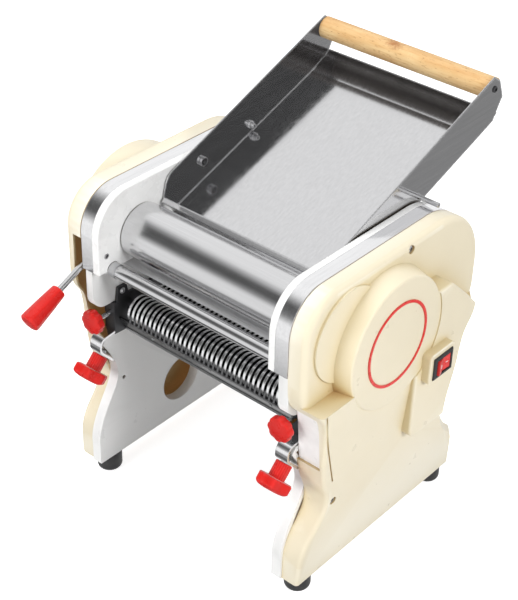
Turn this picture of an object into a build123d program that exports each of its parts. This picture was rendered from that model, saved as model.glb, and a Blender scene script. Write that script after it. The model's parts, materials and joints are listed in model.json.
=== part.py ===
"""Electric pasta maker with two sheeting rollers, a removable noodle cutter and a feed tray.

Millimetres.  X runs along the rollers (right is positive), Y runs from the front to the back,
Z is up.  Side-view outlines are drawn as (y, z) on planes square to X.  The parts are laid out
from the plane between the two side frames, the front faces of the frames and the floor, and
moved at the end so that the origin lies on the floor under the middle of the whole machine.
"""
from build123d import *
import math
import os

# ---------------------------------------------------------------- driving sizes
# thicknesses along X, stacked outward from the working width of the rollers
PLATE_IN = 110.3            # inner faces of the two roller side plates
PLATE_T = 8.2               # thickness of a roller side plate
STRIP_W = 15.4              # width of the stainless trim strip
STRIP_T = 1.5               # thickness of the trim strip
SEAM_STEP = 1.0             # from the strip's outer edge to the seam with the cover
CASTING_T = 12.3            # thickness of a side casting
COVER_W = 19.6              # depth of the right cover's rim
LEFT_COVER_W = 22.4         # depth of the left cover's rim
COVER_WALL = 3.0
COVER_EDGE_R = 7.0          # rounding of the covers' outer rim
CASTING_WEB = 5.0           # web of the side casting
CASTING_RIM = 6.0           # flange around the side casting
LEG_ROUND = 4.0             # rounding of a leg's inner front edge

# side outline, from the front face and the floor
TOP_Z = 362.0
BASE_Z = 25.2               # underside of castings and covers
SHOULDER_DROP = 173.5       # from the top to the shoulder of the front legs
FRONT_BEND = 43.3
REAR_BEND = 72.1
REAR_Y = 273.0
CHIN_R = 17.0
CHIN_FRONT = 2.0
SHOULDER_RUN = 5.5          # from the leg's front to the flat of its shoulder
NOTCH_Y = 30.0              # back wall of the notch that takes the cutter's flange
# side curves: distance from the front, and height as a share of the leg's height
LEG_CURVE = [(1.5, 0.1396), (8.0, 0.3478), (21.6, 0.5015), (31.9, 0.6509), (25.2, 0.8071), (11.5, 0.9541)]
REAR_CURVE = [(258.5, 1.2725), (250.0, 1.0704), (238.3, 0.8255), (238.0, 0.5315), (254.4, 0.3503), (266.0, 0.1825)]
COVER_CURVE = [(3.5, 0.1519), (14.4, 0.3631), (30.5, 0.5132), (32.0, 0.6295), (25.8, 0.7397), (18.5, 0.9118)]

# rollers
ROLLER_R = 29.5
ROLLER_END_GAP = 1.0        # from a roller's end to the side plate
FRONT_ROLLER_Y, FRONT_ROLLER_DROP = 59.3, 54.4
REAR_ROLLER_Y, REAR_ROLLER_DROP = 112.0, 84.3
JOURNAL_R = 12.0
RUNNING = 0.05              # radial play of a shaft in its bearing
BUSH_WALL = 3.0
ROLLER_TEETH = 20
ROLLER_CLOSEST = 59.34      # centre distance with the rollers set closest
GEAR_W = 9.0                # width of the rollers' and of the drive gears
MOTOR_GEAR_W = 6.5
GEAR_STEP = 2.0             # space between gears that lie side by side

# thickness setting
ECCENTRICITY = 2.5
SHELL_PLAY = 0.5            # play of the roller's bearing shells in the eccentrics
ECCENTRIC_R = 22.0
HUB_R = 26.0
SYNC_Y, SYNC_DROP = 19.2, 83.9
SYNC_R = 7.2
SYNC_TEETH = 12
SECTOR_TEETH = 51
SECTOR_HALF = 46.0          # half angle of the toothed part, degrees
SECTOR_W = 5.2
COLLAR_WALL, COLLAR_W = 0.8, 8.0
LEVER_OUT = 5.2             # from the seam to the lever's axis
LEVER_DOWN = 24.3           # slope of the lever at rest, degrees
LEVER_AT_SLOT_Y, LEVER_AT_SLOT_DROP = 6.0, 85.1
LEVER_ROD_R = 3.6
LEVER_INSIDE = 41.0         # length of the rod behind the slot
GRIP_FROM, GRIP_LENGTH = 36.0, 49.0
GRIP_R = (8.0, 11.2)
SLOT_WIDTH, SLOT_HEIGHT, SLOT_TOP_DROP = 14.5, 102.0, 49.0

# drive train in the right cover
DRIVE_TEETH, DRIVE_MODULE = 57, 2.0
IDLER_TEETH, PINION_TEETH = 38, 12
MOTOR_MODULE = 1.75
IDLER_ANGLE = -45.0         # where the reduction gear lies, seen from the rear roller
MOTOR_ANGLE = -50.0         # where the motor lies, seen from the reduction gear
STUD_R = 5.0
MOTOR_R, MOTOR_LENGTH = 44.0, 118.0
MOTOR_SHAFT_R = 5.0
MOTOR_NOSE_R = 18.0
MOTOR_BOLT_RING, MOTOR_BOLT_R = 34.0, 2.6
MOTOR_GROOVES, GROOVE_W, GROOVE_DEEP, GROOVE_LENGTH = 12, 3.0, 3.0, 70.0
BACKLASH = 0.5

# noodle cutter
CUTTER_Y, CUTTER_DROP = 51.5, 148.8
CUTTER_GAP = 31.5           # centre distance of the two cutter rolls
CUTTER_R, CUTTER_CORE_R = 17.0, 12.0
CUTTER_DISCS, CUTTER_PITCH, CUTTER_DISC_W = 36, 6.1, 2.9
CUTTER_TEETH = 18
CUTTER_GEAR_W = 5.4
CUTTER_SHAFT_R = 5.0
CUTTER_DRIVE_TEETH = 14
CUTTER_PLATE_T = 2.8
FLANGE_T = 3.0
# a comb's plate and finger, measured away from the cutter's middle and up from the roll's axis
COMB_PLATE = [(0.0, -22.6), (9.0, -22.6), (17.0, -9.7), (18.5, -6.0), (16.6, -5.6), (15.2, -8.6),
              (7.4, -20.8), (0.0, -20.8)]
COMB_FINGER = [(17.6, -8.5), (18.3, -6.0), (15.6, 2.0), (13.0, 2.0), (12.8, -6.5), (15.5, -9.6)]
COMB_SCREWS, COMB_SCREW_R, COMB_SCREW_T = (-73.0, 6.0, 86.0), 1.6, 1.2
COMB_SCREW_AT = 0.82        # how far up the slope of the comb's plate its screws sit
FRONT_STRIP_T, FRONT_STRIP_W = 2.4, 10.5
SIDE_REAR = 99.0
LUG_Y, LUG_TOP = (33.0, 45.5), 30.8
LUG_BOLT_R = 3.4
KNOB_DROP, KNOB_Y = 148.2, 2.1
KNOB_R, KNOB_T = 13.5, 11.0
KNOB_STUD_R = 3.0
T_KNOB_Y, T_KNOB_DROP = -5.2, 211.3
T_KNOB_R, T_KNOB_T = 19.5, 13.0
T_NECK_R, T_STUD_R = 8.7, 4.0
STRAP_CURVE = [(26.8, 170.0), (7.0, 172.0), (5.5, 186.0), (22.5, 204.5)]
STRAP_T, STRAP_BEND = 2.5, 9.0

# feed tray: distance from the front, and height above the top of the side plates
TRAY_GAP = 1.1              # from the tray's side walls to the side plates
TRAY_T = 1.5
TRAY_PIVOT_AT = (147.3, -11.3)
TRAY_FLOOR = [(105.1, -50.9), (322.0, 28.2), (345.0, 38.6), (352.0, 44.5)]
TRAY_WALL_FRONT = [(104.0, -5.1), (97.9, -8.7), (93.7, -15.9), (90.0, -33.5)]
TRAY_WALL_REAR = [(346.0, 37.2), (356.4, 56.2), (359.5, 60.3), (351.2, 80.9), (341.0, 88.1)]
TRAY_BAR = [(88.0, -36.6), (92.5, -32.8), (91.0, -30.5), (86.5, -34.0)]
DOWEL_AT, DOWEL_R = (342.5, 74.2), 11.8
DOWEL_SCREW_R, DOWEL_SCREW_HEAD_R = 2.5, 4.5
REST_PIN_AT, REST_PIN_R = (221.5, 2.6), 2.5

REAR_SCRAPER_LEAN = 32.0    # how far the rear scraper sits round its roller

# legs, feet and rods
HAND_HOLE_Y, HAND_HOLE_R, HAND_HOLE_WALL = 128.4, 28.0, 7.0
HAND_HOLE_RISE = 47.9       # from the underside of the casting to the hand hole's middle
FOOT_OUT = 1.6              # from the seam to a foot's axis
FOOT_Y = (27.1, 252.4)
FOOT_R, FOOT_ROUND = 13.9, 6.0
ROD_R, ROD_END_R, CASTING_BOSS_R = 7.0, 4.0, 12.0
UPPER_ROD_Y, UPPER_ROD_DROP = 250.0, 100.0
LOWER_ROD_Y, LOWER_ROD_RISE = 215.0, 36.8

# relief of the covers, stations from the face of the cover's rim
BOSS_R = (75.0, 69.0)
BOSS_RISE = 20.5
LEFT_BOSS_R = (82.4, 78.3)
LEFT_BOSS_RISE = 26.7
PAD_R, PAD_RISE = 48.4, 2.5
PANEL_DROP = 111.5          # from the top to the ledge above the sloped panel
PLATEAU_RISE = 1.2          # of the plateau above the boss
PLATEAU_CORNERS = [(147.5, 224.0), (147.5, 57.0), (198.0, 57.0), (226.5, 84.0), (290.0, 150.0),
                   (290.0, 224.0)]     # distance from the front, drop from the top
PLATEAU_ROUND = 12.0
REAR_RUN = 24.0             # how far the raised forms step in over the boss's rise
BOX_RISE = 10.5             # of the switch box above the boss
BOX_MARGIN, BOX_ROUND = 5.0, 5.0
BEZEL_Y, BEZEL_DROP = (162.5, 193.5), (151.0, 125.5)
BEZEL_PROUD = 2.0
ROCKER_W, ROCKER_L = 16.6, 21.0
ROCKER_REST = 8.0           # tilt of the rocker at rest, degrees
RING_R, RING_W, RING_T = 44.0, 3.0, 0.8
PANEL_EDGE_R, PLATEAU_EDGE_R, BOSS_EDGE_R, BOX_EDGE_R = 4.0, 3.0, 2.5, 2.0
HATCH_OUT = 12.0            # from the boss's face in to the hatch opening
HATCH_DROP = (189.0, 122.0)
HATCH_T = 2.0
GROOVE_LINE = [(9.3, 112.4), (20.0, 160.0), (36.0, 211.0)]
PANEL_GROOVE_W, PANEL_GROOVE_DEEP = 2.0, 1.4
SCREW_HEAD_R, SCREW_HEAD_T, SCREW_R = 4.0, 2.0, 2.4
PILLAR_R, COUNTERBORE = 7.0, 3.0
RIGHT_SCREW_AT = ((151.9, 7.3), (43.0, 242.0))
LEFT_SCREW_AT = ((178.0, 12.0), (40.2, 238.4))

# ---------------------------------------------------------------- places worked out
def below(y, drop):
    """A side-view point given by its distance from the front and its drop from the top."""
    return (y, TOP_Z - drop)


def on_leg(curve):
    """Side-view points whose heights are given as shares of the leg's height."""
    return [(y, BASE_Z + share * (SHOULDER_Z - BASE_Z)) for y, share in curve]


STRIP_IN = PLATE_IN + PLATE_T
STRIP_OUT = STRIP_IN + STRIP_W
SEAM = STRIP_OUT + SEAM_STEP
FRAME_IN = SEAM - CASTING_T
COVER_OUT = SEAM + COVER_W
LEFT_COVER_OUT = SEAM + LEFT_COVER_W
BOSS_OUT = COVER_OUT + BOSS_RISE
LEFT_BOSS_OUT = LEFT_COVER_OUT + LEFT_BOSS_RISE
PAD_OUT = COVER_OUT + PAD_RISE
PLATEAU_OUT = BOSS_OUT + PLATEAU_RISE
BOX_OUT = BOSS_OUT + BOX_RISE
SHOULDER_Z = TOP_Z - SHOULDER_DROP
STRIP_FRONT_Z = TOP_Z - SYNC_DROP
STRIP_REAR_Z = TOP_Z - 100.0
CHIN_Z = TOP_Z - 134.0
PANEL_TOP_Z = TOP_Z - PANEL_DROP
LEG_FRONT = on_leg(LEG_CURVE)
REAR_EDGE = [(REAR_Y, STRIP_REAR_Z)] + on_leg(REAR_CURVE)
COVER_FRONT = on_leg(COVER_CURVE) + [below(9.3, 123.0), below(0.0, 90.0)]
FRONT_ROLLER = below(FRONT_ROLLER_Y, FRONT_ROLLER_DROP)
REAR_ROLLER = below(REAR_ROLLER_Y, REAR_ROLLER_DROP)
SYNC_SHAFT = below(SYNC_Y, SYNC_DROP)
SYNC_X = (FRAME_IN + 5.8, FRAME_IN + 5.8 + SECTOR_W)
ROLLER_GEAR_X = (SEAM + 3.1, SEAM + 3.1 + GEAR_W)
MOTOR_GEAR_X = (ROLLER_GEAR_X[1] + GEAR_STEP, ROLLER_GEAR_X[1] + GEAR_STEP + MOTOR_GEAR_W)
DRIVE_X = (MOTOR_GEAR_X[1] + GEAR_STEP - 0.5, MOTOR_GEAR_X[1] + GEAR_STEP - 0.5 + GEAR_W)
LEVER_X = SEAM + LEVER_OUT
LEVER_AT_SLOT = below(LEVER_AT_SLOT_Y, LEVER_AT_SLOT_DROP)
SLOT_X = (SEAM - 3.1, SEAM - 3.1 + SLOT_WIDTH)
SLOT_Z = (TOP_Z - SLOT_TOP_DROP - SLOT_HEIGHT, TOP_Z - SLOT_TOP_DROP)
CUTTER_FRONT = below(CUTTER_Y, CUTTER_DROP)
CUTTER_REAR = (CUTTER_FRONT[0] + CUTTER_GAP, CUTTER_FRONT[1])
LUG_BOLT = (sum(LUG_Y) / 2, CUTTER_FRONT[1] + LUG_TOP - 6.0)
CUTTER_GEAR_X = (PLATE_IN + 2.3, PLATE_IN + 2.3 + CUTTER_GEAR_W)
CUTTER_PLATE_X = (CUTTER_GEAR_X[1] + 1.3, CUTTER_GEAR_X[1] + 1.3 + CUTTER_PLATE_T)
KNOB_X = STRIP_IN + STRIP_W / 2
KNOB_Z = TOP_Z - KNOB_DROP
T_KNOB = below(T_KNOB_Y, T_KNOB_DROP)
T_KNOB_X = STRIP_IN + STRIP_W / 2
STRAP_PATH = [below(y, drop) for y, drop in STRAP_CURVE]
TRAY_OUT = PLATE_IN - TRAY_GAP
TRAY_PIVOT, DOWEL, REST_PIN = [(y, TOP_Z + rise) for y, rise in (TRAY_PIVOT_AT, DOWEL_AT, REST_PIN_AT)]
FOOT_X = SEAM + FOOT_OUT
HAND_HOLE = (HAND_HOLE_Y, BASE_Z + HAND_HOLE_RISE)
TIE_RODS = (below(UPPER_ROD_Y, UPPER_ROD_DROP), (LOWER_ROD_Y, BASE_Z + LOWER_ROD_RISE))
BEZEL_Z = tuple(TOP_Z - drop for drop in BEZEL_DROP)
BEZEL_MIDDLE = (sum(BEZEL_Y) / 2, sum(BEZEL_Z) / 2)
HATCH_X = (SEAM, BOSS_OUT - HATCH_OUT)
HATCH_Z = tuple(TOP_Z - drop for drop in HATCH_DROP)
RIGHT_SCREWS = [below(*at) for at in RIGHT_SCREW_AT]
LEFT_SCREWS = [below(*at) for at in LEFT_SCREW_AT]
RIGHT_SCREW_OUT = (COVER_OUT, COVER_OUT + BOSS_RISE * (RIGHT_SCREWS[1][1] - BASE_Z) / (PANEL_TOP_Z - BASE_Z))
LEFT_SCREW_OUT = (LEFT_COVER_OUT, LEFT_COVER_OUT)
ROLLER_AXES = (REAR_ROLLER[0] - FRONT_ROLLER[0], REAR_ROLLER[1] - FRONT_ROLLER[1])
ROLLER_DISTANCE = math.hypot(*ROLLER_AXES)
TO_REAR = (ROLLER_AXES[0] / ROLLER_DISTANCE, ROLLER_AXES[1] / ROLLER_DISTANCE)
ECCENTRIC = (FRONT_ROLLER[0] + ECCENTRICITY * TO_REAR[1], FRONT_ROLLER[1] - ECCENTRICITY * TO_REAR[0])
ROLLER_MODULE = ROLLER_CLOSEST / ROLLER_TEETH
CUTTER_MODULE = CUTTER_GAP / CUTTER_TEETH
PARTS = {}


def polar(centre, distance, degrees):
    """The point at a distance and angle from a centre in the side view."""
    angle = math.radians(degrees)
    return (centre[0] + distance * math.cos(angle), centre[1] + distance * math.sin(angle))


def bearing(start, end):
    """The angle in degrees from one side-view point to another."""
    return math.degrees(math.atan2(end[1] - start[1], end[0] - start[0]))


def span(start, end):
    """The distance between two side-view points."""
    return math.hypot(end[0] - start[0], end[1] - start[1])


def apex(start, start_distance, end, end_distance):
    """The point to the rear that lies at the given distances from two points."""
    base = span(start, end)
    along = (start_distance ** 2 - end_distance ** 2 + base ** 2) / (2 * base)
    across = math.sqrt(start_distance ** 2 - along ** 2)
    return polar(start, start_distance, bearing(start, end) - math.degrees(math.atan2(across, along)))


IDLER_DISTANCE = (DRIVE_TEETH + PINION_TEETH) * DRIVE_MODULE / 2
IDLER = polar(REAR_ROLLER, IDLER_DISTANCE, IDLER_ANGLE)
MOTOR_DISTANCE = (IDLER_TEETH + PINION_TEETH) * MOTOR_MODULE / 2
MOTOR = polar(IDLER, MOTOR_DISTANCE, MOTOR_ANGLE)
CUTTER_DRIVE = apex(CUTTER_REAR, CUTTER_GAP, REAR_ROLLER,
                    (ROLLER_TEETH + CUTTER_DRIVE_TEETH) * ROLLER_MODULE / 2)
SYNC_MODULE = 2 * span(ECCENTRIC, SYNC_SHAFT) / (SYNC_TEETH + SECTOR_TEETH)


# ---------------------------------------------------------------- shared forms
def slab(outline, x_from, x_to):
    """A side-view outline made solid between two stations along X."""
    return extrude(Plane.YZ.offset(x_from) * outline, x_to - x_from)


def bar_x(centre, radius, x_from, x_to):
    """A round bar along X."""
    return slab(Pos(*centre) * Circle(radius), x_from, x_to)


def tube_x(centre, outer, inner, x_from, x_to):
    """A bush along X."""
    return slab(Pos(*centre) * (Circle(outer) - Circle(inner)), x_from, x_to)


def block(x_range, y_range, z_range):
    """A box between three pairs of limits."""
    sizes = [high - low for low, high in (x_range, y_range, z_range)]
    middle = [(high + low) / 2 for low, high in (x_range, y_range, z_range)]
    return Pos(*middle) * Box(*sizes)


def face_of(points):
    """A flat face with straight edges."""
    return make_face(Polyline(*points, close=True))


def both_sides(solid):
    """A piece and its twin on the other side of the machine."""
    return [solid, mirror(solid, Plane.YZ)]


def gear(centre, teeth, module, x_from, x_to, tooth_at, bore=0.0, keep=None):
    """A spur gear along X with one tooth centred on the given angle.

    keep limits the teeth to those within that many degrees of tooth_at, as on a sector."""
    pitch_r = teeth * module / 2
    base_r = pitch_r * math.cos(math.radians(20))
    tip_r, root_r = pitch_r + 0.95 * module, pitch_r - 1.2 * module

    def half_width(radius):
        lean = math.acos(min(1.0, base_r / radius))
        start = math.tan(math.radians(20)) - math.radians(20)
        here = math.tan(lean) - lean
        at_pitch = math.pi / (2 * teeth) - BACKLASH / (2 * pitch_r) / 2
        return math.degrees(at_pitch + start - here)

    count = teeth if keep is None else 2 * int(keep / (360 / teeth)) + 1
    first = 0 if keep is None else -(count // 2)
    points = []
    for index in range(first, first + count):
        middle = tooth_at + index * 360 / teeth
        for radius, side in ((root_r, -1), (tip_r, -1), (tip_r, 1), (root_r, 1)):
            points.append(polar(centre, radius, middle + side * half_width(radius)))
    if keep is not None:
        points.append(centre)
    blank = slab(face_of(points), x_from, x_to)
    if bore:
        blank -= bar_x(centre, bore, x_from, x_to)
    return blank


def mesh_angle(centre, teeth, tooth_at, other, other_teeth):
    """Where the second gear of a pair has a tooth, so that the pair meshes."""
    toward = bearing(centre, other)
    pitch = 360 / teeth
    ahead = (tooth_at - toward + pitch / 2) % pitch - pitch / 2
    return toward + 180 - ahead * teeth / other_teeth + 180 / other_teeth


def top_edge(inset, z_front, z_rear):
    """The front, top and rear edge shared by strips, plates, castings and covers."""
    front, top, rear = inset, TOP_Z - inset, REAR_Y - inset
    bend = FRONT_BEND - inset
    rear_bend = REAR_BEND - inset
    half = math.sqrt(0.5)
    front_mid = (FRONT_BEND - bend * half, TOP_Z - FRONT_BEND + bend * half)
    rear_mid = (REAR_Y - REAR_BEND + rear_bend * half, TOP_Z - REAR_BEND + rear_bend * half)
    return [Line((front, z_front), (front, TOP_Z - FRONT_BEND)),
            ThreePointArc((front, TOP_Z - FRONT_BEND), front_mid, (FRONT_BEND, top)),
            Line((FRONT_BEND, top), (REAR_Y - REAR_BEND, top)),
            ThreePointArc((REAR_Y - REAR_BEND, top), rear_mid, (rear, TOP_Z - REAR_BEND)),
            Line((rear, TOP_Z - REAR_BEND), (rear, z_rear))]


def casting_outline(inset=0.0):
    """The side casting, drawn in by inset: chin, notch for the cutter and S-shaped legs."""
    step = STRIP_T + inset
    rear = [(y - inset, z) for y, z in [(REAR_Y, STRIP_REAR_Z)] + REAR_EDGE[1:]]
    leg = [(y + inset, z) for y, z in LEG_FRONT]
    floor, shoulder, chin = BASE_Z + inset, SHOULDER_Z - inset, CHIN_Z + inset
    bend, front = CHIN_R - inset, CHIN_FRONT + inset
    back = NOTCH_Y + inset
    edges = top_edge(step, STRIP_FRONT_Z, rear[0][1])
    edges += [Line((REAR_Y - step, rear[0][1]), rear[0]),
              Spline(*rear, tangents=((0, -1), (0, -1))),
              Line(rear[-1], (rear[-1][0], floor)),
              Line((rear[-1][0], floor), (leg[0][0], floor)),
              Line((leg[0][0], floor), leg[0]),
              Spline(*leg),
              Line(leg[-1], (leg[-1][0] + SHOULDER_RUN, shoulder)),
              Line((leg[-1][0] + SHOULDER_RUN, shoulder), (back, shoulder)),
              Line((back, shoulder), (back, chin)),
              Line((back, chin), (front + bend, chin)),
              ThreePointArc((front + bend, chin), polar((front + bend, chin + bend), bend, 225),
                            (front, chin + bend)),
              Line((front, chin + bend), (front, STRIP_FRONT_Z)),
              Line((front, STRIP_FRONT_Z), (step, STRIP_FRONT_Z))]
    return make_face(edges)


def cover_outline(inset=0.0):
    """A cover, drawn in by inset: the same top and rear, and one sweep down the front."""
    rear = [(y - inset, z) for y, z in REAR_EDGE]
    front = [(y + inset, z) for y, z in COVER_FRONT]
    floor = BASE_Z + inset
    edges = top_edge(inset, front[-1][1], rear[0][1])
    edges += [Spline(*rear, tangents=((0, -1), (0, -1))),
              Line(rear[-1], (rear[-1][0], floor)),
              Line((rear[-1][0], floor), (front[0][0], floor)),
              Line((front[0][0], floor), front[0]),
              Spline(*front, tangents=((0, 1), (0, 1)))]
    return make_face(edges)


# ---------------------------------------------------------------- side structure
def side_casting(right):
    """One side casting, drawn on the right: web, rim and bearing bosses."""
    body = slab(casting_outline(), FRAME_IN, SEAM)
    web_out = FRAME_IN + CASTING_WEB
    body -= slab(casting_outline(CASTING_RIM), web_out, SEAM)
    body += bar_x(HAND_HOLE, HAND_HOLE_R + HAND_HOLE_WALL, FRAME_IN, SEAM)
    body -= bar_x(HAND_HOLE, HAND_HOLE_R, FRAME_IN, SEAM)
    bearing_r = JOURNAL_R + RUNNING + BUSH_WALL
    for centre, radius, x_from in ((ECCENTRIC, ECCENTRIC_R + 6.0, STRIP_IN),
                                   (REAR_ROLLER, bearing_r + 6.0, STRIP_IN),
                                   (SYNC_SHAFT, SYNC_R + 4.5, FRAME_IN - 1.5)):
        body += bar_x(centre, radius, x_from, web_out)
    body += bar_x(REAR_ROLLER, bearing_r + 6.0, web_out, SEAM)
    body -= bar_x(ECCENTRIC, ECCENTRIC_R + RUNNING, STRIP_IN, SEAM)
    body -= bar_x(REAR_ROLLER, bearing_r, STRIP_IN, SEAM)
    body -= bar_x(SYNC_SHAFT, SYNC_R + RUNNING, FRAME_IN - 1.5, SEAM)
    for centre in TIE_RODS:
        body += bar_x(centre, CASTING_BOSS_R, web_out, SEAM)
        body -= bar_x(centre, ROD_END_R, FRAME_IN, SEAM)
    for centre in RIGHT_SCREWS if right else LEFT_SCREWS:
        body += bar_x(centre, PILLAR_R, FRAME_IN, SEAM) & slab(casting_outline(), FRAME_IN, SEAM)
        body -= bar_x(centre, SCREW_R, FRAME_IN, SEAM)
    body -= Pos(KNOB_X, NOTCH_Y + 7.0, KNOB_Z) * Rot(90, 0, 0) * Cylinder(KNOB_STUD_R + 0.1, 14.0)
    for y in FOOT_Y:
        body -= Pos(SEAM - CASTING_RIM / 2 - 1.4, y, BASE_Z + 4.0) * Cylinder(2.5, 8.0)
    if right:
        body += bar_x(IDLER, CASTING_BOSS_R, web_out, SEAM)
        body -= bar_x(IDLER, STUD_R, FRAME_IN, SEAM)
        body += bar_x(CUTTER_DRIVE, CASTING_BOSS_R, web_out, SEAM)
        body -= bar_x(CUTTER_DRIVE, JOURNAL_R / 2 + RUNNING, FRAME_IN, SEAM)
        body -= bar_x(MOTOR, MOTOR_NOSE_R + RUNNING, FRAME_IN, SEAM)
        for index in range(4):
            body -= bar_x(polar(MOTOR, MOTOR_BOLT_RING, 45 + 90 * index), MOTOR_BOLT_R, FRAME_IN, SEAM)
    else:
        body -= block(SLOT_X, (-1.0, NOTCH_Y), SLOT_Z)
    return body


def side_plate():
    """A thick roller side plate with a straight lower edge and room for the shafts."""
    edges = top_edge(0.0, STRIP_FRONT_Z, STRIP_FRONT_Z)
    edges.append(Line((REAR_Y, STRIP_FRONT_Z), (0.0, STRIP_FRONT_Z)))
    plate = slab(make_face(edges), PLATE_IN, STRIP_IN)
    plate = fillet(plate.faces().sort_by(Axis.X)[0].edges().sort_by(Axis.Z)[1:], 1.5)
    plate -= bar_x(ECCENTRIC, JOURNAL_R + ECCENTRICITY + 2.0, PLATE_IN, STRIP_IN)
    plate -= bar_x(REAR_ROLLER, JOURNAL_R + 1.0, PLATE_IN, STRIP_IN)
    plate -= bar_x(SYNC_SHAFT, SYNC_R + 1.0, PLATE_IN, STRIP_IN)
    plate -= bar_x(TRAY_PIVOT, 3.0, PLATE_IN, STRIP_IN)
    return plate


def trim_strip():
    """Bent stainless strip over the edge of a casting."""
    outer = top_edge(0.0, STRIP_FRONT_Z, STRIP_REAR_Z)
    inner = top_edge(STRIP_T, STRIP_FRONT_Z, STRIP_REAR_Z)
    ends = [Line((0.0, STRIP_FRONT_Z), (STRIP_T, STRIP_FRONT_Z)),
            Line((REAR_Y, STRIP_REAR_Z), (REAR_Y - STRIP_T, STRIP_REAR_Z))]
    return slab(make_face(outer + inner + ends), STRIP_IN, STRIP_OUT)


def foot(x, y):
    """A rubber foot, rounded at the floor, with its screw hole."""
    body = Pos(x, y, BASE_Z / 2) * Cylinder(FOOT_R, BASE_Z)
    return fillet(body.edges().group_by(Axis.Z)[0], FOOT_ROUND)


def build_structure():
    """Castings, side plates, strips, feet and the rods that tie the sides together."""
    PARTS["right_side_casting"] = side_casting(True)
    PARTS["left_side_casting"] = mirror(side_casting(False), Plane.YZ)
    for name, piece in (("side_plate", side_plate()), ("trim_strip", trim_strip())):
        PARTS["right_" + name], PARTS["left_" + name] = both_sides(piece)
    feet = [foot(side * FOOT_X, y) for side in (-1, 1) for y in FOOT_Y]
    PARTS["feet"] = Compound(feet)
    rods = []
    for centre in TIE_RODS:
        rod = bar_x(centre, ROD_R, -FRAME_IN, FRAME_IN)
        rods.append(rod + bar_x(centre, ROD_END_R, -SEAM, SEAM))
    PARTS["rear_tie_rods"] = Compound(rods)


# ---------------------------------------------------------------- covers
def drawn_in(points, by):
    """A convex outline drawn in by a distance; the corners run clockwise."""
    moved = []
    for index, corner in enumerate(points):
        before, after = points[index - 1], points[(index + 1) % len(points)]
        lead, leave = bearing(before, corner), bearing(corner, after)
        turn = math.radians((lead - leave) % 360) / 2
        moved.append(polar(corner, by / math.cos(turn), (lead + leave if abs(lead - leave) < 180
                                                         else lead + leave + 360) / 2 - 90))
    return moved


def panel_x(z):
    """How far out the sloped lower panel stands at a height."""
    return COVER_OUT + BOSS_RISE * (z - BASE_Z) / (PANEL_TOP_Z - BASE_Z)


def beyond_panel(grow):
    """All that lies outside the sloped panel drawn in by grow millimetres."""
    drop = PANEL_TOP_Z - BASE_Z
    cut = Polyline((COVER_OUT - grow, BASE_Z), (BOSS_OUT - grow, PANEL_TOP_Z),
                   (BOSS_OUT + 40, PANEL_TOP_Z), (BOSS_OUT + 40, BASE_Z - drop),
                   (COVER_OUT - grow - BOSS_RISE, BASE_Z - drop), close=True)
    return extrude(Plane.XZ.offset(-2 * REAR_Y) * make_face(cut), 4 * REAR_Y)


def rear_flow(grow):
    """The cover's outline swept outward and forward, which slopes the relief's rear side."""
    start = COVER_OUT - COVER_EDGE_R / 2
    run = 2.0 * BOSS_RISE
    return extrude(Plane.YZ.offset(start) * cover_outline(grow * 1.6), math.hypot(run, run * REAR_RUN / BOSS_RISE),
                   dir=Vector(BOSS_RISE, -REAR_RUN, 0)) + slab(cover_outline(grow), SEAM, start)


def panel(grow):
    """The sloped lower panel with the ledge on top, drawn in by grow millimetres."""
    low = cover_outline(grow)
    low &= Pos(REAR_Y / 2, PANEL_TOP_Z / 2 - grow) * Rectangle(2 * REAR_Y, PANEL_TOP_Z)
    return slab(low, SEAM, BOSS_OUT) - beyond_panel(grow)


def plateau(grow):
    """The raised motor housing behind the boss, drawn in by grow millimetres."""
    corners = drawn_in([below(*at) for at in PLATEAU_CORNERS], grow)
    outline = FilletPolyline(*corners, radius=PLATEAU_ROUND - grow, close=True)
    return slab(make_face(outline), SEAM, PLATEAU_OUT - grow)


def switch_box(grow):
    """The box that carries the switch, drawn in by grow millimetres."""
    y_half = (BEZEL_Y[1] - BEZEL_Y[0]) / 2 + BOX_MARGIN - grow
    z_half = (BEZEL_Z[1] - BEZEL_Z[0]) / 2 + BOX_MARGIN - grow
    outline = Pos(*BEZEL_MIDDLE) * RectangleRounded(2 * y_half, 2 * z_half, BOX_ROUND - grow)
    return slab(outline, SEAM, BOX_OUT - grow)


def boss(radii, x_low, x_high, grow):
    """A flat round boss with a leaning flank, drawn in by grow millimetres."""
    low = Plane.YZ.offset(x_low) * Pos(*REAR_ROLLER) * Circle(radii[0] - grow)
    high = Plane.YZ.offset(x_high - grow) * Pos(*REAR_ROLLER) * Circle(radii[1] - grow)
    return loft([low, high])


def pillars(screws, outer):
    """Round pillars inside a cover for its screws."""
    return [bar_x(screw, PILLAR_R, SEAM, BOX_OUT) & outer for screw in screws]


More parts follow.
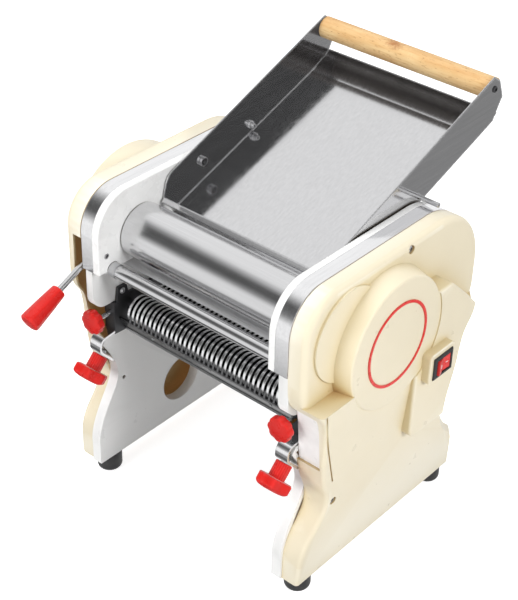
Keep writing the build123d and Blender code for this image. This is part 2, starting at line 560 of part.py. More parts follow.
def right_cover():
    """Die-cast housing of the drive: rim, drive boss, motor plateau, sloped lower panel."""
    body = slab(cover_outline(), SEAM, COVER_OUT)
    body = fillet(body.faces().sort_by(Axis.X)[-1].edges(), COVER_EDGE_R)
    body += bar_x(FRONT_ROLLER, PAD_R, SEAM, PAD_OUT)
    lower = panel(0.0)
    front = [edge for edge in lower.edges() if edge.bounding_box().max.Y < NOTCH_Y + 10
             and edge.bounding_box().min.X > COVER_OUT - 1 and edge.bounding_box().size.Z > 50]
    lower = fillet(front, PANEL_EDGE_R)
    upper = plateau(0.0)
    upper = fillet(upper.faces().sort_by(Axis.X)[-1].edges(), PLATEAU_EDGE_R)
    upper -= bar_x(REAR_ROLLER, BOSS_R[1] + 0.5, BOSS_OUT, PLATEAU_OUT)
    flow = rear_flow(0.0)
    body += lower & flow
    body += upper & flow
    drive_boss = boss(BOSS_R, COVER_OUT - 6.0, BOSS_OUT, 0.0)
    body += fillet(drive_boss.faces().sort_by(Axis.X)[-1].edges(), BOSS_EDGE_R)
    box = switch_box(0.0)
    body += fillet(box.faces().sort_by(Axis.X)[-1].edges(), BOX_EDGE_R)
    posts = pillars(RIGHT_SCREWS, body)
    body -= slab(cover_outline(COVER_WALL), SEAM, COVER_OUT - COVER_WALL)
    body -= bar_x(FRONT_ROLLER, PAD_R - COVER_WALL, SEAM, PAD_OUT - COVER_WALL)
    flow = rear_flow(COVER_WALL)
    body -= panel(COVER_WALL) & flow
    body -= plateau(COVER_WALL) & flow
    body -= boss(BOSS_R, COVER_OUT - 6.0, BOSS_OUT, COVER_WALL)
    body -= switch_box(COVER_WALL)
    y, z = BEZEL_MIDDLE
    body -= block((SEAM, BOX_OUT + 9), (y - 13.0, y + 13.0), (z - 10.5, z + 10.5))
    body -= block(HATCH_X, (-5.0, 40.0), HATCH_Z)
    for post in posts:
        body += post
    for screw, out in zip(RIGHT_SCREWS, RIGHT_SCREW_OUT):
        body -= bar_x(screw, SCREW_R + 0.2, SEAM, BOX_OUT)
        body -= bar_x(screw, SCREW_HEAD_R + 0.3, out - COUNTERBORE, BOX_OUT)
    band = [(y + side * PANEL_GROOVE_W / 2, z) for side, line in ((-1, GROOVE_LINE), (1, GROOVE_LINE[::-1]))
            for y, z in [below(*at) for at in line]]
    body -= slab(face_of(band), COVER_OUT, BOX_OUT) & beyond_panel(PANEL_GROOVE_DEEP)
    return body


def left_cover():
    """Die-cast housing of the thickness setting, open in front for the lever."""
    body = slab(cover_outline(), SEAM, LEFT_COVER_OUT)
    body = fillet(body.faces().sort_by(Axis.X)[-1].edges(), COVER_EDGE_R)
    raised = boss(LEFT_BOSS_R, LEFT_COVER_OUT - 6.0, LEFT_BOSS_OUT, 0.0)
    body += fillet(raised.faces().sort_by(Axis.X)[-1].edges(), BOSS_EDGE_R)
    posts = pillars(LEFT_SCREWS, body)
    body -= slab(cover_outline(COVER_WALL), SEAM, LEFT_COVER_OUT - COVER_WALL)
    body -= boss(LEFT_BOSS_R, LEFT_COVER_OUT - 6.0, LEFT_BOSS_OUT, COVER_WALL)
    body -= block((SEAM, SLOT_X[1]), (-1.0, NOTCH_Y), SLOT_Z)
    for post in posts:
        body += post
    for screw in LEFT_SCREWS:
        body -= bar_x(screw, SCREW_R + 0.2, SEAM, LEFT_COVER_OUT)
        body -= bar_x(screw, SCREW_HEAD_R + 0.3, LEFT_COVER_OUT - COUNTERBORE, LEFT_COVER_OUT)
    return mirror(body, Plane.YZ)


def build_covers():
    """Covers with their hatch, switch, trim ring and screws."""
    PARTS["right_cover"] = right_cover()
    PARTS["left_cover"] = left_cover()
    x_range = (HATCH_X[0] + 0.3, HATCH_X[1] + 1.5)
    hatch = slab(cover_outline(COVER_WALL) - cover_outline(COVER_WALL + HATCH_T), *x_range)
    hatch &= block(x_range, (-5.0, 60.0), (HATCH_Z[0] - 2, HATCH_Z[1] + 2))
    PARTS["front_hatch"] = hatch
    PARTS["drive_trim_ring"] = tube_x(REAR_ROLLER, RING_R + RING_W / 2, RING_R - RING_W / 2,
                                      BOSS_OUT, BOSS_OUT + RING_T)
    bezel = block((BOX_OUT, BOX_OUT + BEZEL_PROUD), BEZEL_Y, BEZEL_Z)
    bezel = chamfer(bezel.faces().sort_by(Axis.X)[-1].edges(), BEZEL_PROUD / 2)
    y, z = BEZEL_MIDDLE
    bezel += block((BOX_OUT - 12, BOX_OUT), (y - 12.8, y + 12.8), (z - 10.3, z + 10.3))
    bezel -= block((BOX_OUT - 8, BOX_OUT + 9), (y - 11.3, y + 11.3), (z - 8.8, z + 8.8))
    PARTS["switch_bezel"] = bezel
    half = ROCKER_L / 2
    rocker = Polyline((0.0, -half), (3.2, -half), (1.0, 0.0), (3.2, half), (0.0, half), (-4.0, half / 2),
                      (-4.0, -half / 2), close=True)
    rocker = extrude(make_face(rocker), ROCKER_W)
    PARTS["rocker"] = Pos(BOX_OUT, y, z - ROCKER_W / 2) * Rot(0, 0, ROCKER_REST) * rocker
    screws = []
    for places, outs, side in ((RIGHT_SCREWS, RIGHT_SCREW_OUT, 1), (LEFT_SCREWS, LEFT_SCREW_OUT, -1)):
        for place, out in zip(places, outs):
            seat = out - COUNTERBORE
            head = bar_x(place, SCREW_HEAD_R, seat, seat + SCREW_HEAD_T)
            screw = head + bar_x(place, SCREW_R, FRAME_IN + 2.0, seat)
            screws.append(screw if side > 0 else mirror(screw, Plane.YZ))
    PARTS["cover_screws"] = Compound(screws)


# ---------------------------------------------------------------- sheeting rollers
def roller(centre, left_end, right_end):
    """A roller and its journals in one turned piece."""
    half = PLATE_IN - ROLLER_END_GAP
    body = bar_x(centre, ROLLER_R, -half, half)
    body = chamfer(body.edges().filter_by(GeomType.CIRCLE), 0.6)
    body += bar_x(centre, JOURNAL_R, -left_end, -half)
    return body + bar_x(centre, JOURNAL_R, half, right_end)


def build_rollers():
    """The two rollers with their gears and bearings."""
    front_tooth = bearing(FRONT_ROLLER, REAR_ROLLER)
    rear_tooth = mesh_angle(FRONT_ROLLER, ROLLER_TEETH, front_tooth, REAR_ROLLER, ROLLER_TEETH)
    gear_from, gear_to = ROLLER_GEAR_X
    PARTS["front_roller"] = roller(FRONT_ROLLER, SEAM - 1.5, gear_to)
    PARTS["rear_roller"] = roller(REAR_ROLLER, SEAM - 0.5, DRIVE_X[1] + 1.0)
    PARTS["front_roller_gear"] = gear(FRONT_ROLLER, ROLLER_TEETH, ROLLER_MODULE, gear_from, gear_to,
                                      front_tooth, JOURNAL_R)
    PARTS["rear_roller_gear"] = gear(REAR_ROLLER, ROLLER_TEETH, ROLLER_MODULE, gear_from, gear_to,
                                     rear_tooth, JOURNAL_R)
    bushes = both_sides(tube_x(REAR_ROLLER, JOURNAL_R + RUNNING + BUSH_WALL, JOURNAL_R + RUNNING,
                               STRIP_IN, SEAM))
    PARTS["rear_roller_bushes"] = Compound(bushes)
    shells = both_sides(tube_x(FRONT_ROLLER, JOURNAL_R + RUNNING + BUSH_WALL, JOURNAL_R + RUNNING,
                               STRIP_IN + 0.3, SEAM - 2.0))
    PARTS["front_roller_shells"] = Compound(shells)
    return rear_tooth


# ---------------------------------------------------------------- thickness setting
def eccentric(left):
    """An eccentric bush drawn on the right, with its toothed sector in the casting's hollow."""
    web_out = FRAME_IN + CASTING_WEB
    body = bar_x(ECCENTRIC, ECCENTRIC_R, STRIP_IN, web_out + 0.4)
    toward = bearing(ECCENTRIC, SYNC_SHAFT)
    body += gear(ECCENTRIC, SECTOR_TEETH, SYNC_MODULE, *SYNC_X, toward, 0.0, SECTOR_HALF)
    body += bar_x(ECCENTRIC, HUB_R, web_out + 0.4, SYNC_X[1])
    if left:
        body += bar_x(ECCENTRIC, HUB_R, SYNC_X[1], LEVER_X + 5.5)
    body -= bar_x(FRONT_ROLLER, JOURNAL_R + RUNNING + BUSH_WALL + SHELL_PLAY, STRIP_IN, SEAM)
    return body


def build_setting():
    """Eccentrics, synchronising shaft and the lever with its grip."""
    right = eccentric(False)
    left = mirror(eccentric(True), Plane.YZ)
    down = math.radians(LEVER_DOWN)
    direction = Vector(0, -math.cos(down), -math.sin(down))
    start = Vector(-LEVER_X, *LEVER_AT_SLOT)
    rod_plane = Plane(start - direction * LEVER_INSIDE, z_dir=direction)
    left -= extrude(rod_plane * Circle(LEVER_ROD_R + 0.02), LEVER_INSIDE + 19.0)
    PARTS["left_eccentric"] = left
    PARTS["right_eccentric"] = right
    rod_length = LEVER_INSIDE + GRIP_FROM + 10.0
    PARTS["lever_rod"] = extrude(rod_plane * Circle(LEVER_ROD_R), rod_length)
    grip = Pos(0, 0, GRIP_LENGTH / 2) * Cone(*GRIP_R, GRIP_LENGTH)
    grip = fillet(grip.edges().group_by(Axis.Z)[-1], GRIP_R[1] - 4.0)
    grip = fillet(grip.edges().group_by(Axis.Z)[0], 2.0)
    grip_plane = Plane(start + direction * GRIP_FROM, z_dir=direction)
    grip = grip_plane.location * grip
    grip -= extrude(grip_plane * Circle(LEVER_ROD_R + 0.02), 10.0)
    PARTS["lever_grip"] = grip
    toward = bearing(ECCENTRIC, SYNC_SHAFT)
    pinion_tooth = mesh_angle(ECCENTRIC, SECTOR_TEETH, toward, SYNC_SHAFT, SYNC_TEETH)
    shaft = bar_x(SYNC_SHAFT, SYNC_R, -SYNC_X[0], SYNC_X[0])
    pinion = gear(SYNC_SHAFT, SYNC_TEETH, SYNC_MODULE, *SYNC_X, pinion_tooth)
    for piece in both_sides(pinion):
        shaft += piece
    PARTS["synchronising_shaft"] = shaft
    PARTS["shaft_collar"] = tube_x(SYNC_SHAFT, SYNC_R + COLLAR_WALL, SYNC_R,
                                   -PLATE_IN + 0.4, -PLATE_IN + 0.4 + COLLAR_W)


# ---------------------------------------------------------------- drive
def build_drive(rear_tooth):
    """Motor, reduction gear, drive gear and the shaft that drives the cutter."""
    drive_tooth = bearing(REAR_ROLLER, IDLER)
    PARTS["drive_gear"] = gear(REAR_ROLLER, DRIVE_TEETH, DRIVE_MODULE, *DRIVE_X, drive_tooth, JOURNAL_R)
    pinion_tooth = mesh_angle(REAR_ROLLER, DRIVE_TEETH, drive_tooth, IDLER, PINION_TEETH)
    motor_tooth = bearing(IDLER, MOTOR)
    wheel = gear(IDLER, IDLER_TEETH, MOTOR_MODULE, *MOTOR_GEAR_X, motor_tooth)
    wheel += bar_x(IDLER, 9.0, SEAM + 0.5, DRIVE_X[0])
    wheel += gear(IDLER, PINION_TEETH, DRIVE_MODULE, *DRIVE_X, pinion_tooth)
    PARTS["reduction_gear"] = wheel - bar_x(IDLER, STUD_R + RUNNING, SEAM, DRIVE_X[1])
    PARTS["reduction_stud"] = bar_x(IDLER, STUD_R, FRAME_IN, DRIVE_X[1] + 2.0)
    shaft_tooth = mesh_angle(IDLER, IDLER_TEETH, motor_tooth, MOTOR, PINION_TEETH)
    shaft = bar_x(MOTOR, MOTOR_SHAFT_R, FRAME_IN - 20.0, MOTOR_GEAR_X[0])
    PARTS["motor_shaft"] = shaft + gear(MOTOR, PINION_TEETH, MOTOR_MODULE, *MOTOR_GEAR_X, shaft_tooth)
    motor = bar_x(MOTOR, MOTOR_R, FRAME_IN - MOTOR_LENGTH, FRAME_IN)
    motor = fillet(motor.faces().sort_by(Axis.X)[0].edges(), 8.0)
    motor += bar_x(MOTOR, MOTOR_NOSE_R, FRAME_IN, SEAM - 3.0)
    motor -= bar_x(MOTOR, MOTOR_SHAFT_R + RUNNING, FRAME_IN - 20.0, SEAM)
    for index in range(MOTOR_GROOVES):
        groove = Pos(FRAME_IN - MOTOR_LENGTH / 2, 0, 0) * Box(GROOVE_LENGTH, GROOVE_W, 2 * GROOVE_DEEP)
        groove = Pos(0, *MOTOR) * Rot(360 / MOTOR_GROOVES * index, 0, 0) * Pos(0, 0, MOTOR_R) * groove
        motor -= groove
    PARTS["motor"] = motor
    drive = bar_x(CUTTER_DRIVE, JOURNAL_R / 2, CUTTER_GEAR_X[0], ROLLER_GEAR_X[1])
    drive_at = mesh_angle(REAR_ROLLER, ROLLER_TEETH, rear_tooth, CUTTER_DRIVE, CUTTER_DRIVE_TEETH)
    drive += gear(CUTTER_DRIVE, CUTTER_DRIVE_TEETH, ROLLER_MODULE, *ROLLER_GEAR_X, drive_at)
    toward = bearing(CUTTER_DRIVE, CUTTER_REAR)
    drive += gear(CUTTER_DRIVE, CUTTER_TEETH, CUTTER_MODULE, *CUTTER_GEAR_X, toward)
    PARTS["cutter_drive_shaft"] = drive
    return toward


# ---------------------------------------------------------------- noodle cutter
def cutter_roll(centre, tooth_at, shift):
    """A cutter roll: core with evenly spaced cutting discs, journals and its gear."""
    end = CUTTER_GEAR_X[0] - 0.6
    body = bar_x(centre, CUTTER_CORE_R, -end, end)
    first = -(CUTTER_DISCS - 1) / 2 * CUTTER_PITCH + shift
    count = CUTTER_DISCS if shift == 0 else CUTTER_DISCS - 1
    discs = []
    for index in range(count):
        middle = first + index * CUTTER_PITCH
        discs.append(bar_x(centre, CUTTER_R, middle - CUTTER_DISC_W / 2, middle + CUTTER_DISC_W / 2))
    body = body.fuse(*discs)
    shaft_end = CUTTER_PLATE_X[1] - 0.2
    body += bar_x(centre, CUTTER_SHAFT_R, -shaft_end, -end)
    body += bar_x(centre, CUTTER_SHAFT_R, end, shaft_end)
    return body + gear(centre, CUTTER_TEETH, CUTTER_MODULE, *CUTTER_GEAR_X, tooth_at)


def comb(front):
    """A stripping comb: a bent plate before the discs with a finger in every gap between them."""
    centre, sign = (CUTTER_FRONT, -1) if front else (CUTTER_REAR, 1)

    def placed(points):
        return face_of([(centre[0] + sign * a, centre[1] + b) for a, b in points])

    body = slab(placed(COMB_PLATE), -CUTTER_PLATE_X[0], CUTTER_PLATE_X[0])
    count = CUTTER_DISCS - 1 if front else CUTTER_DISCS - 2
    first = -(count - 1) / 2 * CUTTER_PITCH
    half = (CUTTER_PITCH - CUTTER_DISC_W - 0.8) / 2
    fingers = []
    for index in range(count):
        middle = first + index * CUTTER_PITCH
        fingers.append(slab(placed(COMB_FINGER), middle - half, middle + half))
    return body.fuse(*fingers)


def cutter_side():
    """A pressed side plate of the cutter with its front flange and lug."""
    x_in, x_out = CUTTER_PLATE_X
    axis = CUTTER_FRONT[1]
    flange = NOTCH_Y - FLANGE_T
    low, high = SHOULDER_Z + 0.5, CHIN_Z - 0.6
    plate = face_of([(flange, low), (SIDE_REAR, low - 5.5), (SIDE_REAR, axis + 11.0),
                     (SIDE_REAR - 7.0, axis + 18.0), (LUG_Y[1] + 2.5, axis + 18.0),
                     (LUG_Y[1], axis + LUG_TOP), (LUG_Y[0], axis + LUG_TOP), (NOTCH_Y + 1.0, high),
                     (flange, high)])
    plate = slab(plate, x_in, x_out)
    plate += block((x_in, STRIP_OUT), (flange, NOTCH_Y), (low, high))
    for centre in (CUTTER_FRONT, CUTTER_REAR):
        plate -= bar_x(centre, CUTTER_SHAFT_R + RUNNING, x_in, x_out)
    plate -= bar_x(LUG_BOLT, LUG_BOLT_R / 2, x_in, x_out)
    plate -= Pos(KNOB_X, NOTCH_Y, KNOB_Z) * Rot(90, 0, 0) * Cylinder(KNOB_STUD_R + 0.1, 14.0)
    return plate


def star_knob(radius, thickness, dome):
    """An eight-sided knob, crowned on its face (+Z)."""
    prism = extrude(RegularPolygon(radius, 8, major_radius=True), thickness)
    crown_r = (radius ** 2 + dome ** 2) / (2 * dome)
    return prism & (Pos(0, 0, thickness - crown_r) * Sphere(crown_r))


def build_cutter(drive_tooth):
    """The cutter that slides out to the front, and the knobs that hold it."""
    rear_tooth = mesh_angle(CUTTER_DRIVE, CUTTER_TEETH, drive_tooth, CUTTER_REAR, CUTTER_TEETH)
    front_tooth = mesh_angle(CUTTER_REAR, CUTTER_TEETH, rear_tooth, CUTTER_FRONT, CUTTER_TEETH)
    PARTS["cutter_front_roll"] = cutter_roll(CUTTER_FRONT, front_tooth, 0.0)
    PARTS["cutter_rear_roll"] = cutter_roll(CUTTER_REAR, rear_tooth, CUTTER_PITCH / 2)
    PARTS["cutter_front_comb"] = comb(True)
    PARTS["cutter_rear_comb"] = comb(False)
    for name, piece in zip(("right_cutter_side", "left_cutter_side"), both_sides(cutter_side())):
        PARTS[name] = piece
    (_, low), (lean_y, _), (knee_y, knee_z) = COMB_PLATE[:3]
    edge_y, edge_z = CUTTER_FRONT[0] - lean_y, CUTTER_FRONT[1] + low
    PARTS["cutter_front_strip"] = block((-CUTTER_PLATE_X[0], CUTTER_PLATE_X[0]),
                                        (edge_y - 0.8, edge_y - 0.8 + FRONT_STRIP_W),
                                        (edge_z - FRONT_STRIP_T, edge_z))
    rise = Vector(0, lean_y - knee_y, knee_z - low)
    seat = Vector(0, edge_y, edge_z) + rise * COMB_SCREW_AT
    outward = Vector(0, -rise.Z, rise.Y).normalized()
    screws = []
    for x in COMB_SCREWS:
        head = Plane(seat + Vector(x, 0, 0), z_dir=outward) * Circle(COMB_SCREW_R)
        screws.append(extrude(head, COMB_SCREW_T))
    PARTS["comb_screws"] = Compound(screws)
    bolt = bar_x(LUG_BOLT, LUG_BOLT_R, CUTTER_PLATE_X[0] - 2.0, CUTTER_PLATE_X[0])
    bolt += bar_x(LUG_BOLT, LUG_BOLT_R / 2, CUTTER_PLATE_X[0], CUTTER_PLATE_X[1])
    PARTS["lug_bolts"] = Compound(both_sides(bolt))
    strap = slab(trace(FilletPolyline(*STRAP_PATH, radius=STRAP_BEND), STRAP_T), CUTTER_PLATE_X[0], SEAM - 0.4)
    axis = Vector(0, math.sqrt(0.5), math.sqrt(0.5))
    t_plane = Plane(Vector(T_KNOB_X, *T_KNOB), z_dir=axis)
    strap -= extrude(t_plane * Circle(T_STUD_R + 0.1), 40.0)
    PARTS["right_cutter_strap"], PARTS["left_cutter_strap"] = both_sides(strap)
    knob = Pos(KNOB_X, KNOB_Y + KNOB_T / 2, KNOB_Z) * Rot(90, 0, 0) * star_knob(KNOB_R, KNOB_T, 3.0)
    stud_from, stud_to = KNOB_Y + KNOB_T / 2, NOTCH_Y + 10
    stud = Pos(KNOB_X, (stud_from + stud_to) / 2, KNOB_Z) * Rot(90, 0, 0) * \
        Cylinder(KNOB_STUD_R, stud_to - stud_from)
    PARTS["right_upper_knob"], PARTS["left_upper_knob"] = both_sides(knob)
    PARTS["right_knob_stud"], PARTS["left_knob_stud"] = both_sides(stud)
    head = t_plane.location * (Rot(180, 0, 0) * Pos(0, 0, -T_KNOB_T / 2) * star_knob(T_KNOB_R, T_KNOB_T, 3.5))
    (y1, z1), (y2, z2) = STRAP_PATH[2:]
    across = ((z1 - z2) * (y1 - T_KNOB[0]) + (y2 - y1) * (z1 - T_KNOB[1])) / span(*STRAP_PATH[2:])
    lean = math.cos(math.radians(bearing(*STRAP_PATH[2:]) + 90 - 45))
    neck_end = across / lean - STRAP_T / 2 - 0.6
    head += extrude(t_plane.offset(T_KNOB_T / 2) * Circle(T_NECK_R), neck_end - T_KNOB_T / 2)
    head += extrude(t_plane.offset(neck_end) * Circle(T_STUD_R), STRAP_T + 4.0)
    PARTS["right_clamp_knob"], PARTS["left_clamp_knob"] = both_sides(head)


# ---------------------------------------------------------------- scrapers and tray
def build_scrapers():
    """Blades under the rollers that keep the dough from climbing round them."""
    y, z = FRONT_ROLLER
    blade = [(-9.3, -29.9), (-7.8, -30.9), (-11.2, -38.0), (-2.5, -38.0), (-2.5, -40.5), (-14.0, -40.5)]
    PARTS["front_scraper"] = slab(face_of([(y + a, z + b) for a, b in blade]), -FRAME_IN, FRAME_IN)
    y, z = REAR_ROLLER
    lean = math.radians(REAR_SCRAPER_LEAN)
    turned = [(-a * math.cos(lean) - b * math.sin(lean), -a * math.sin(lean) + b * math.cos(lean))
              for a, b in blade]
    PARTS["rear_scraper"] = slab(face_of([(y + a, z + b) for a, b in turned]), -FRAME_IN, FRAME_IN)


def lifted(points):
    """Side-view points given by their height above the top of the side plates."""
    return [(y, TOP_Z + rise) for y, rise in points]


def offset_strip(line, thickness):
    """The closed outline of a sheet that follows a line and lies above it."""
    upper = []
    for index, point in enumerate(line):
        lead = bearing(line[max(index - 1, 0)], line[max(index, 1)])
        leave = bearing(line[min(index, len(line) - 2)], line[min(index + 1, len(line) - 1)])
        upper.append(polar(point, thickness / math.cos(math.radians(leave - lead) / 2), (lead + leave) / 2 + 90))
    return Polyline(*line, *upper[::-1], close=True)


def build_tray():
    """The feed tray: folded pan, dowel handle, front bar, pivot bolts and rest pins."""
    floor = lifted(TRAY_FLOOR)
    wall = face_of(floor[:2] + lifted(TRAY_WALL_REAR + TRAY_WALL_FRONT))
    pan = slab(wall, TRAY_OUT - TRAY_T, TRAY_OUT) + slab(wall, -TRAY_OUT, TRAY_T - TRAY_OUT)
    base = make_face(offset_strip(floor, TRAY_T))
    pan += slab(base, -TRAY_OUT, TRAY_OUT)
    for x_from, x_to in ((TRAY_OUT - TRAY_T, TRAY_OUT), (-TRAY_OUT, TRAY_T - TRAY_OUT)):
        pan -= bar_x(TRAY_PIVOT, 3.05, x_from, x_to)
        pan -= bar_x(REST_PIN, REST_PIN_R, x_from, x_to)
        pan -= bar_x(DOWEL, DOWEL_SCREW_R, x_from, x_to)
    PARTS["tray_pan"] = pan
    inside = TRAY_OUT - TRAY_T
    PARTS["tray_front_bar"] = slab(face_of(lifted(TRAY_BAR)), -inside, inside)
    dowel = bar_x(DOWEL, DOWEL_R, -inside, inside)
    pins, bolts, screws = [], [], []
    for side in (-1, 1):
        dowel -= bar_x(DOWEL, DOWEL_SCREW_R, *sorted((side * (inside - 18), side * inside)))
        screw = bar_x(DOWEL, DOWEL_SCREW_R, *sorted((side * (inside - 18), side * TRAY_OUT)))
        screws.append(screw + bar_x(DOWEL, DOWEL_SCREW_HEAD_R, *sorted((side * TRAY_OUT, side * (TRAY_OUT + 2.2)))))
        bolt = bar_x(TRAY_PIVOT, 3.0, *sorted((side * (inside - 0.2), side * STRIP_IN)))
        bolts.append(bolt + bar_x(TRAY_PIVOT, 5.0, *sorted((side * (inside - 3.2), side * (inside - 0.2)))))
        pin = bar_x(REST_PIN, REST_PIN_R, *sorted((side * (inside - 6), side * SEAM)))
        pins.append(pin + bar_x(REST_PIN, 4.4, *sorted((side * (inside - 2.0), side * inside))))
    PARTS["tray_dowel"] = dowel
    PARTS["dowel_screws"] = Compound(screws)
    PARTS["tray_pivot_bolts"] = Compound(bolts)
    PARTS["tray_rest_pins"] = Compound(pins)


# ---------------------------------------------------------------- assembly and files
def build():
    """Every piece, moved so that the origin is on the floor under the machine's middle."""
    build_structure()
    build_covers()
    rear_tooth = build_rollers()
    build_setting()
    cutter_tooth = build_drive(rear_tooth)
    build_cutter(cutter_tooth)
    build_scrapers()
    build_tray()
    boxes = [piece.bounding_box() for piece in PARTS.values()]
    low = [min(box.min.X for box in boxes), min(box.min.Y for box in boxes)]
    high = [max(box.max.X for box in boxes), max(box.max.Y for box in boxes)]
    floor = min(box.min.Z for box in boxes)
    return Vector(-(low[0] + high[0]) / 2, -(low[1] + high[1]) / 2, -floor)


SHIFT = build()
os.makedirs("parts", exist_ok=True)
for node in sorted(PARTS):
    export_step(Pos(SHIFT.X, SHIFT.Y, SHIFT.Z) * PARTS[node], "parts/" + node + ".step")
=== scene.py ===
"""Electric pasta maker: studio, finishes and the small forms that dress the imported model."""

import json
import math

import bpy
from mathutils import Matrix, Vector


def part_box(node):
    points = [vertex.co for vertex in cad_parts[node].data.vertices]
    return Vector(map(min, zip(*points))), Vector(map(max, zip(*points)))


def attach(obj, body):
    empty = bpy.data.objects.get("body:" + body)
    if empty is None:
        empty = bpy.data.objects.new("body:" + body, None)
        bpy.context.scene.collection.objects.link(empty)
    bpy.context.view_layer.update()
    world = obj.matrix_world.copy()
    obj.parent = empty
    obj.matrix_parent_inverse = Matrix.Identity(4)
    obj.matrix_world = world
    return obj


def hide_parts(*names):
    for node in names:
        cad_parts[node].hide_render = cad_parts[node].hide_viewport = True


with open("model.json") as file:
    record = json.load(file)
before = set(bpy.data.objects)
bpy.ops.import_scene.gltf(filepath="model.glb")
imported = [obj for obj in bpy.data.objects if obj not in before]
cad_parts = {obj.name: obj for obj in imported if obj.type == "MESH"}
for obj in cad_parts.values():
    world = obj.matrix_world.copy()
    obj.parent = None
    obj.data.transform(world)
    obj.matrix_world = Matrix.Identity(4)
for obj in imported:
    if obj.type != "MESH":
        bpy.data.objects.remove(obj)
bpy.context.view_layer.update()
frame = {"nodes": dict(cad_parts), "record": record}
NODES = frame["nodes"]
MM = 0.001

# the side view's origin: the front faces of the side frames, the floor, and the plane midway between them
STRIP_LOW, STRIP_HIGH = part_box("right_trim_strip")
MID_X = (STRIP_HIGH[0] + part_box("left_trim_strip")[0][0]) / 2
FRONT_Y = STRIP_LOW[1]


def place(x, y, z):
    """A point given in millimetres from the middle plane, the frames' front and the floor."""
    return Vector((MID_X + x * MM, FRONT_Y + y * MM, z * MM))


# ---------------------------------------------------------------- shader nodes
def fill(tree, socket, value):
    """Links a socket to another one, or sets its value."""
    if isinstance(value, bpy.types.NodeSocket):
        tree.links.new(value, socket)
    else:
        socket.default_value = value


def add_node(tree, kind, inputs=None, **settings):
    """A shader node with its settings, and its inputs by name or number."""
    made = tree.nodes.new("ShaderNode" + kind)
    for key, value in settings.items():
        setattr(made, key, value)
    for key, value in (inputs or {}).items():
        fill(tree, made.inputs[key], value)
    return made


MIX_FIRST, MIX_SECOND, MIX_COLOR = 6, 7, 2      # a Mix node's colour sockets: two in, one out
BEVEL_SAMPLES, HOLLOW_SAMPLES = 4, 8


class Finish:
    """A node material with helpers for the maps that the finishes share."""

    def __init__(self, name, color, metallic=0.0, roughness=0.4):
        self.material = bpy.data.materials.new(name)
        self.material.use_nodes = True
        self.tree = self.material.node_tree
        self.shader = self.tree.nodes["Principled BSDF"]
        self.coords = self.node("TexCoord").outputs["Object"]
        self.set(Base_Color=(*color, 1), Metallic=metallic, Roughness=roughness)

    def set(self, **values):
        """Fills the shader's inputs; an underscore stands for a space in their names."""
        for key, value in values.items():
            fill(self.tree, self.shader.inputs[key.replace("_", " ")], value)
        return self

    def show(self, node):
        """Makes a node the material's surface."""
        fill(self.tree, self.tree.nodes["Material Output"].inputs["Surface"], node.outputs[0])

    def node(self, kind, inputs=None, **settings):
        return add_node(self.tree, kind, inputs, **settings)

    def number(self, operation, first, second):
        """The result of an operation on two numbers."""
        return self.node("Math", {0: first, 1: second}, operation=operation).outputs[0]

    def vector(self, operation, first, second=None):
        """The node of an operation on one or two vectors."""
        inputs = {0: first} if second is None else {0: first, 1: second}
        return self.node("VectorMath", inputs, operation=operation)

    def stretched(self, x, y, z):
        """Object coordinates scaled along each axis, for grain that runs one way."""
        return self.node("Mapping", {"Vector": self.coords, "Scale": (x, y, z)}).outputs[0]

    def noise(self, scale, detail=4.0, vector=None, roughness=0.55):
        """Cloudy noise that repeats scale times in a metre."""
        return self.node("TexNoise", {"Vector": vector or self.coords, "Scale": scale, "Detail": detail,
                                      "Roughness": roughness}).outputs["Fac"]

    def spread(self, value, low, high, start=0.3, end=0.7):
        """value from start to end, spread over low to high."""
        return self.node("MapRange", {"Value": value, "From Min": start, "From Max": end,
                                      "To Min": low, "To Max": high}).outputs[0]

    def blend(self, amount, first, second):
        """A colour between two, each a socket or three numbers."""
        first, second = [color if isinstance(color, bpy.types.NodeSocket) else (*color, 1)
                         for color in (first, second)]
        return self.node("Mix", {0: amount, MIX_FIRST: first, MIX_SECOND: second},
                         data_type="RGBA").outputs[MIX_COLOR]

    def relief(self, height, depth, rounded=0.0):
        """A bumped normal, depth in metres, with the edges softened to a radius in metres."""
        inputs = {"Height": height, "Distance": depth}
        if rounded:
            inputs["Normal"] = self.node("Bevel", {"Radius": rounded}, samples=BEVEL_SAMPLES).outputs[0]
        return self.node("Bump", inputs).outputs[0]

    def edges(self):
        """1 on sharp outer edges, 0 elsewhere."""
        pointed = self.node("NewGeometry").outputs["Pointiness"]
        return self.spread(pointed, 0.0, 1.0, start=0.52, end=0.60)

    def hollows(self, reach, deepest=0.08, open_from=0.45):
        """An ambient-occlusion mask for painted shade: 1 far inside a hollow, 0 in the open, looking as far
        as reach.
        """
        shade = self.node("AmbientOcclusion", {"Distance": reach}, samples=HOLLOW_SAMPLES)
        return self.spread(shade.outputs["AO"], 1.0, 0.0, start=deepest, end=open_from)


def darker(color, share):
    """A colour with a share of its brightness."""
    return tuple(part * share for part in color)


# ---------------------------------------------------------------- meshes
def mesh_object(name, points, faces, smooth=True):
    """An object of its own mesh, in metres."""
    mesh = bpy.data.meshes.new(name)
    mesh.from_pydata([tuple(p) for p in points], [], faces)
    mesh.validate()
    mesh.update()
    for polygon in mesh.polygons:
        polygon.use_smooth = smooth
    obj = bpy.data.objects.new(name, mesh)
    bpy.context.scene.collection.objects.link(obj)
    return obj


SQUARE = ((-1, -1), (1, -1), (1, 1), (-1, 1))


def flat_sheet(name, width, depth):
    """A level rectangle about its own middle, in metres."""
    return mesh_object(name, [(u * width / 2, v * depth / 2, 0) for u, v in SQUARE], [(0, 1, 2, 3)],
                       smooth=False)


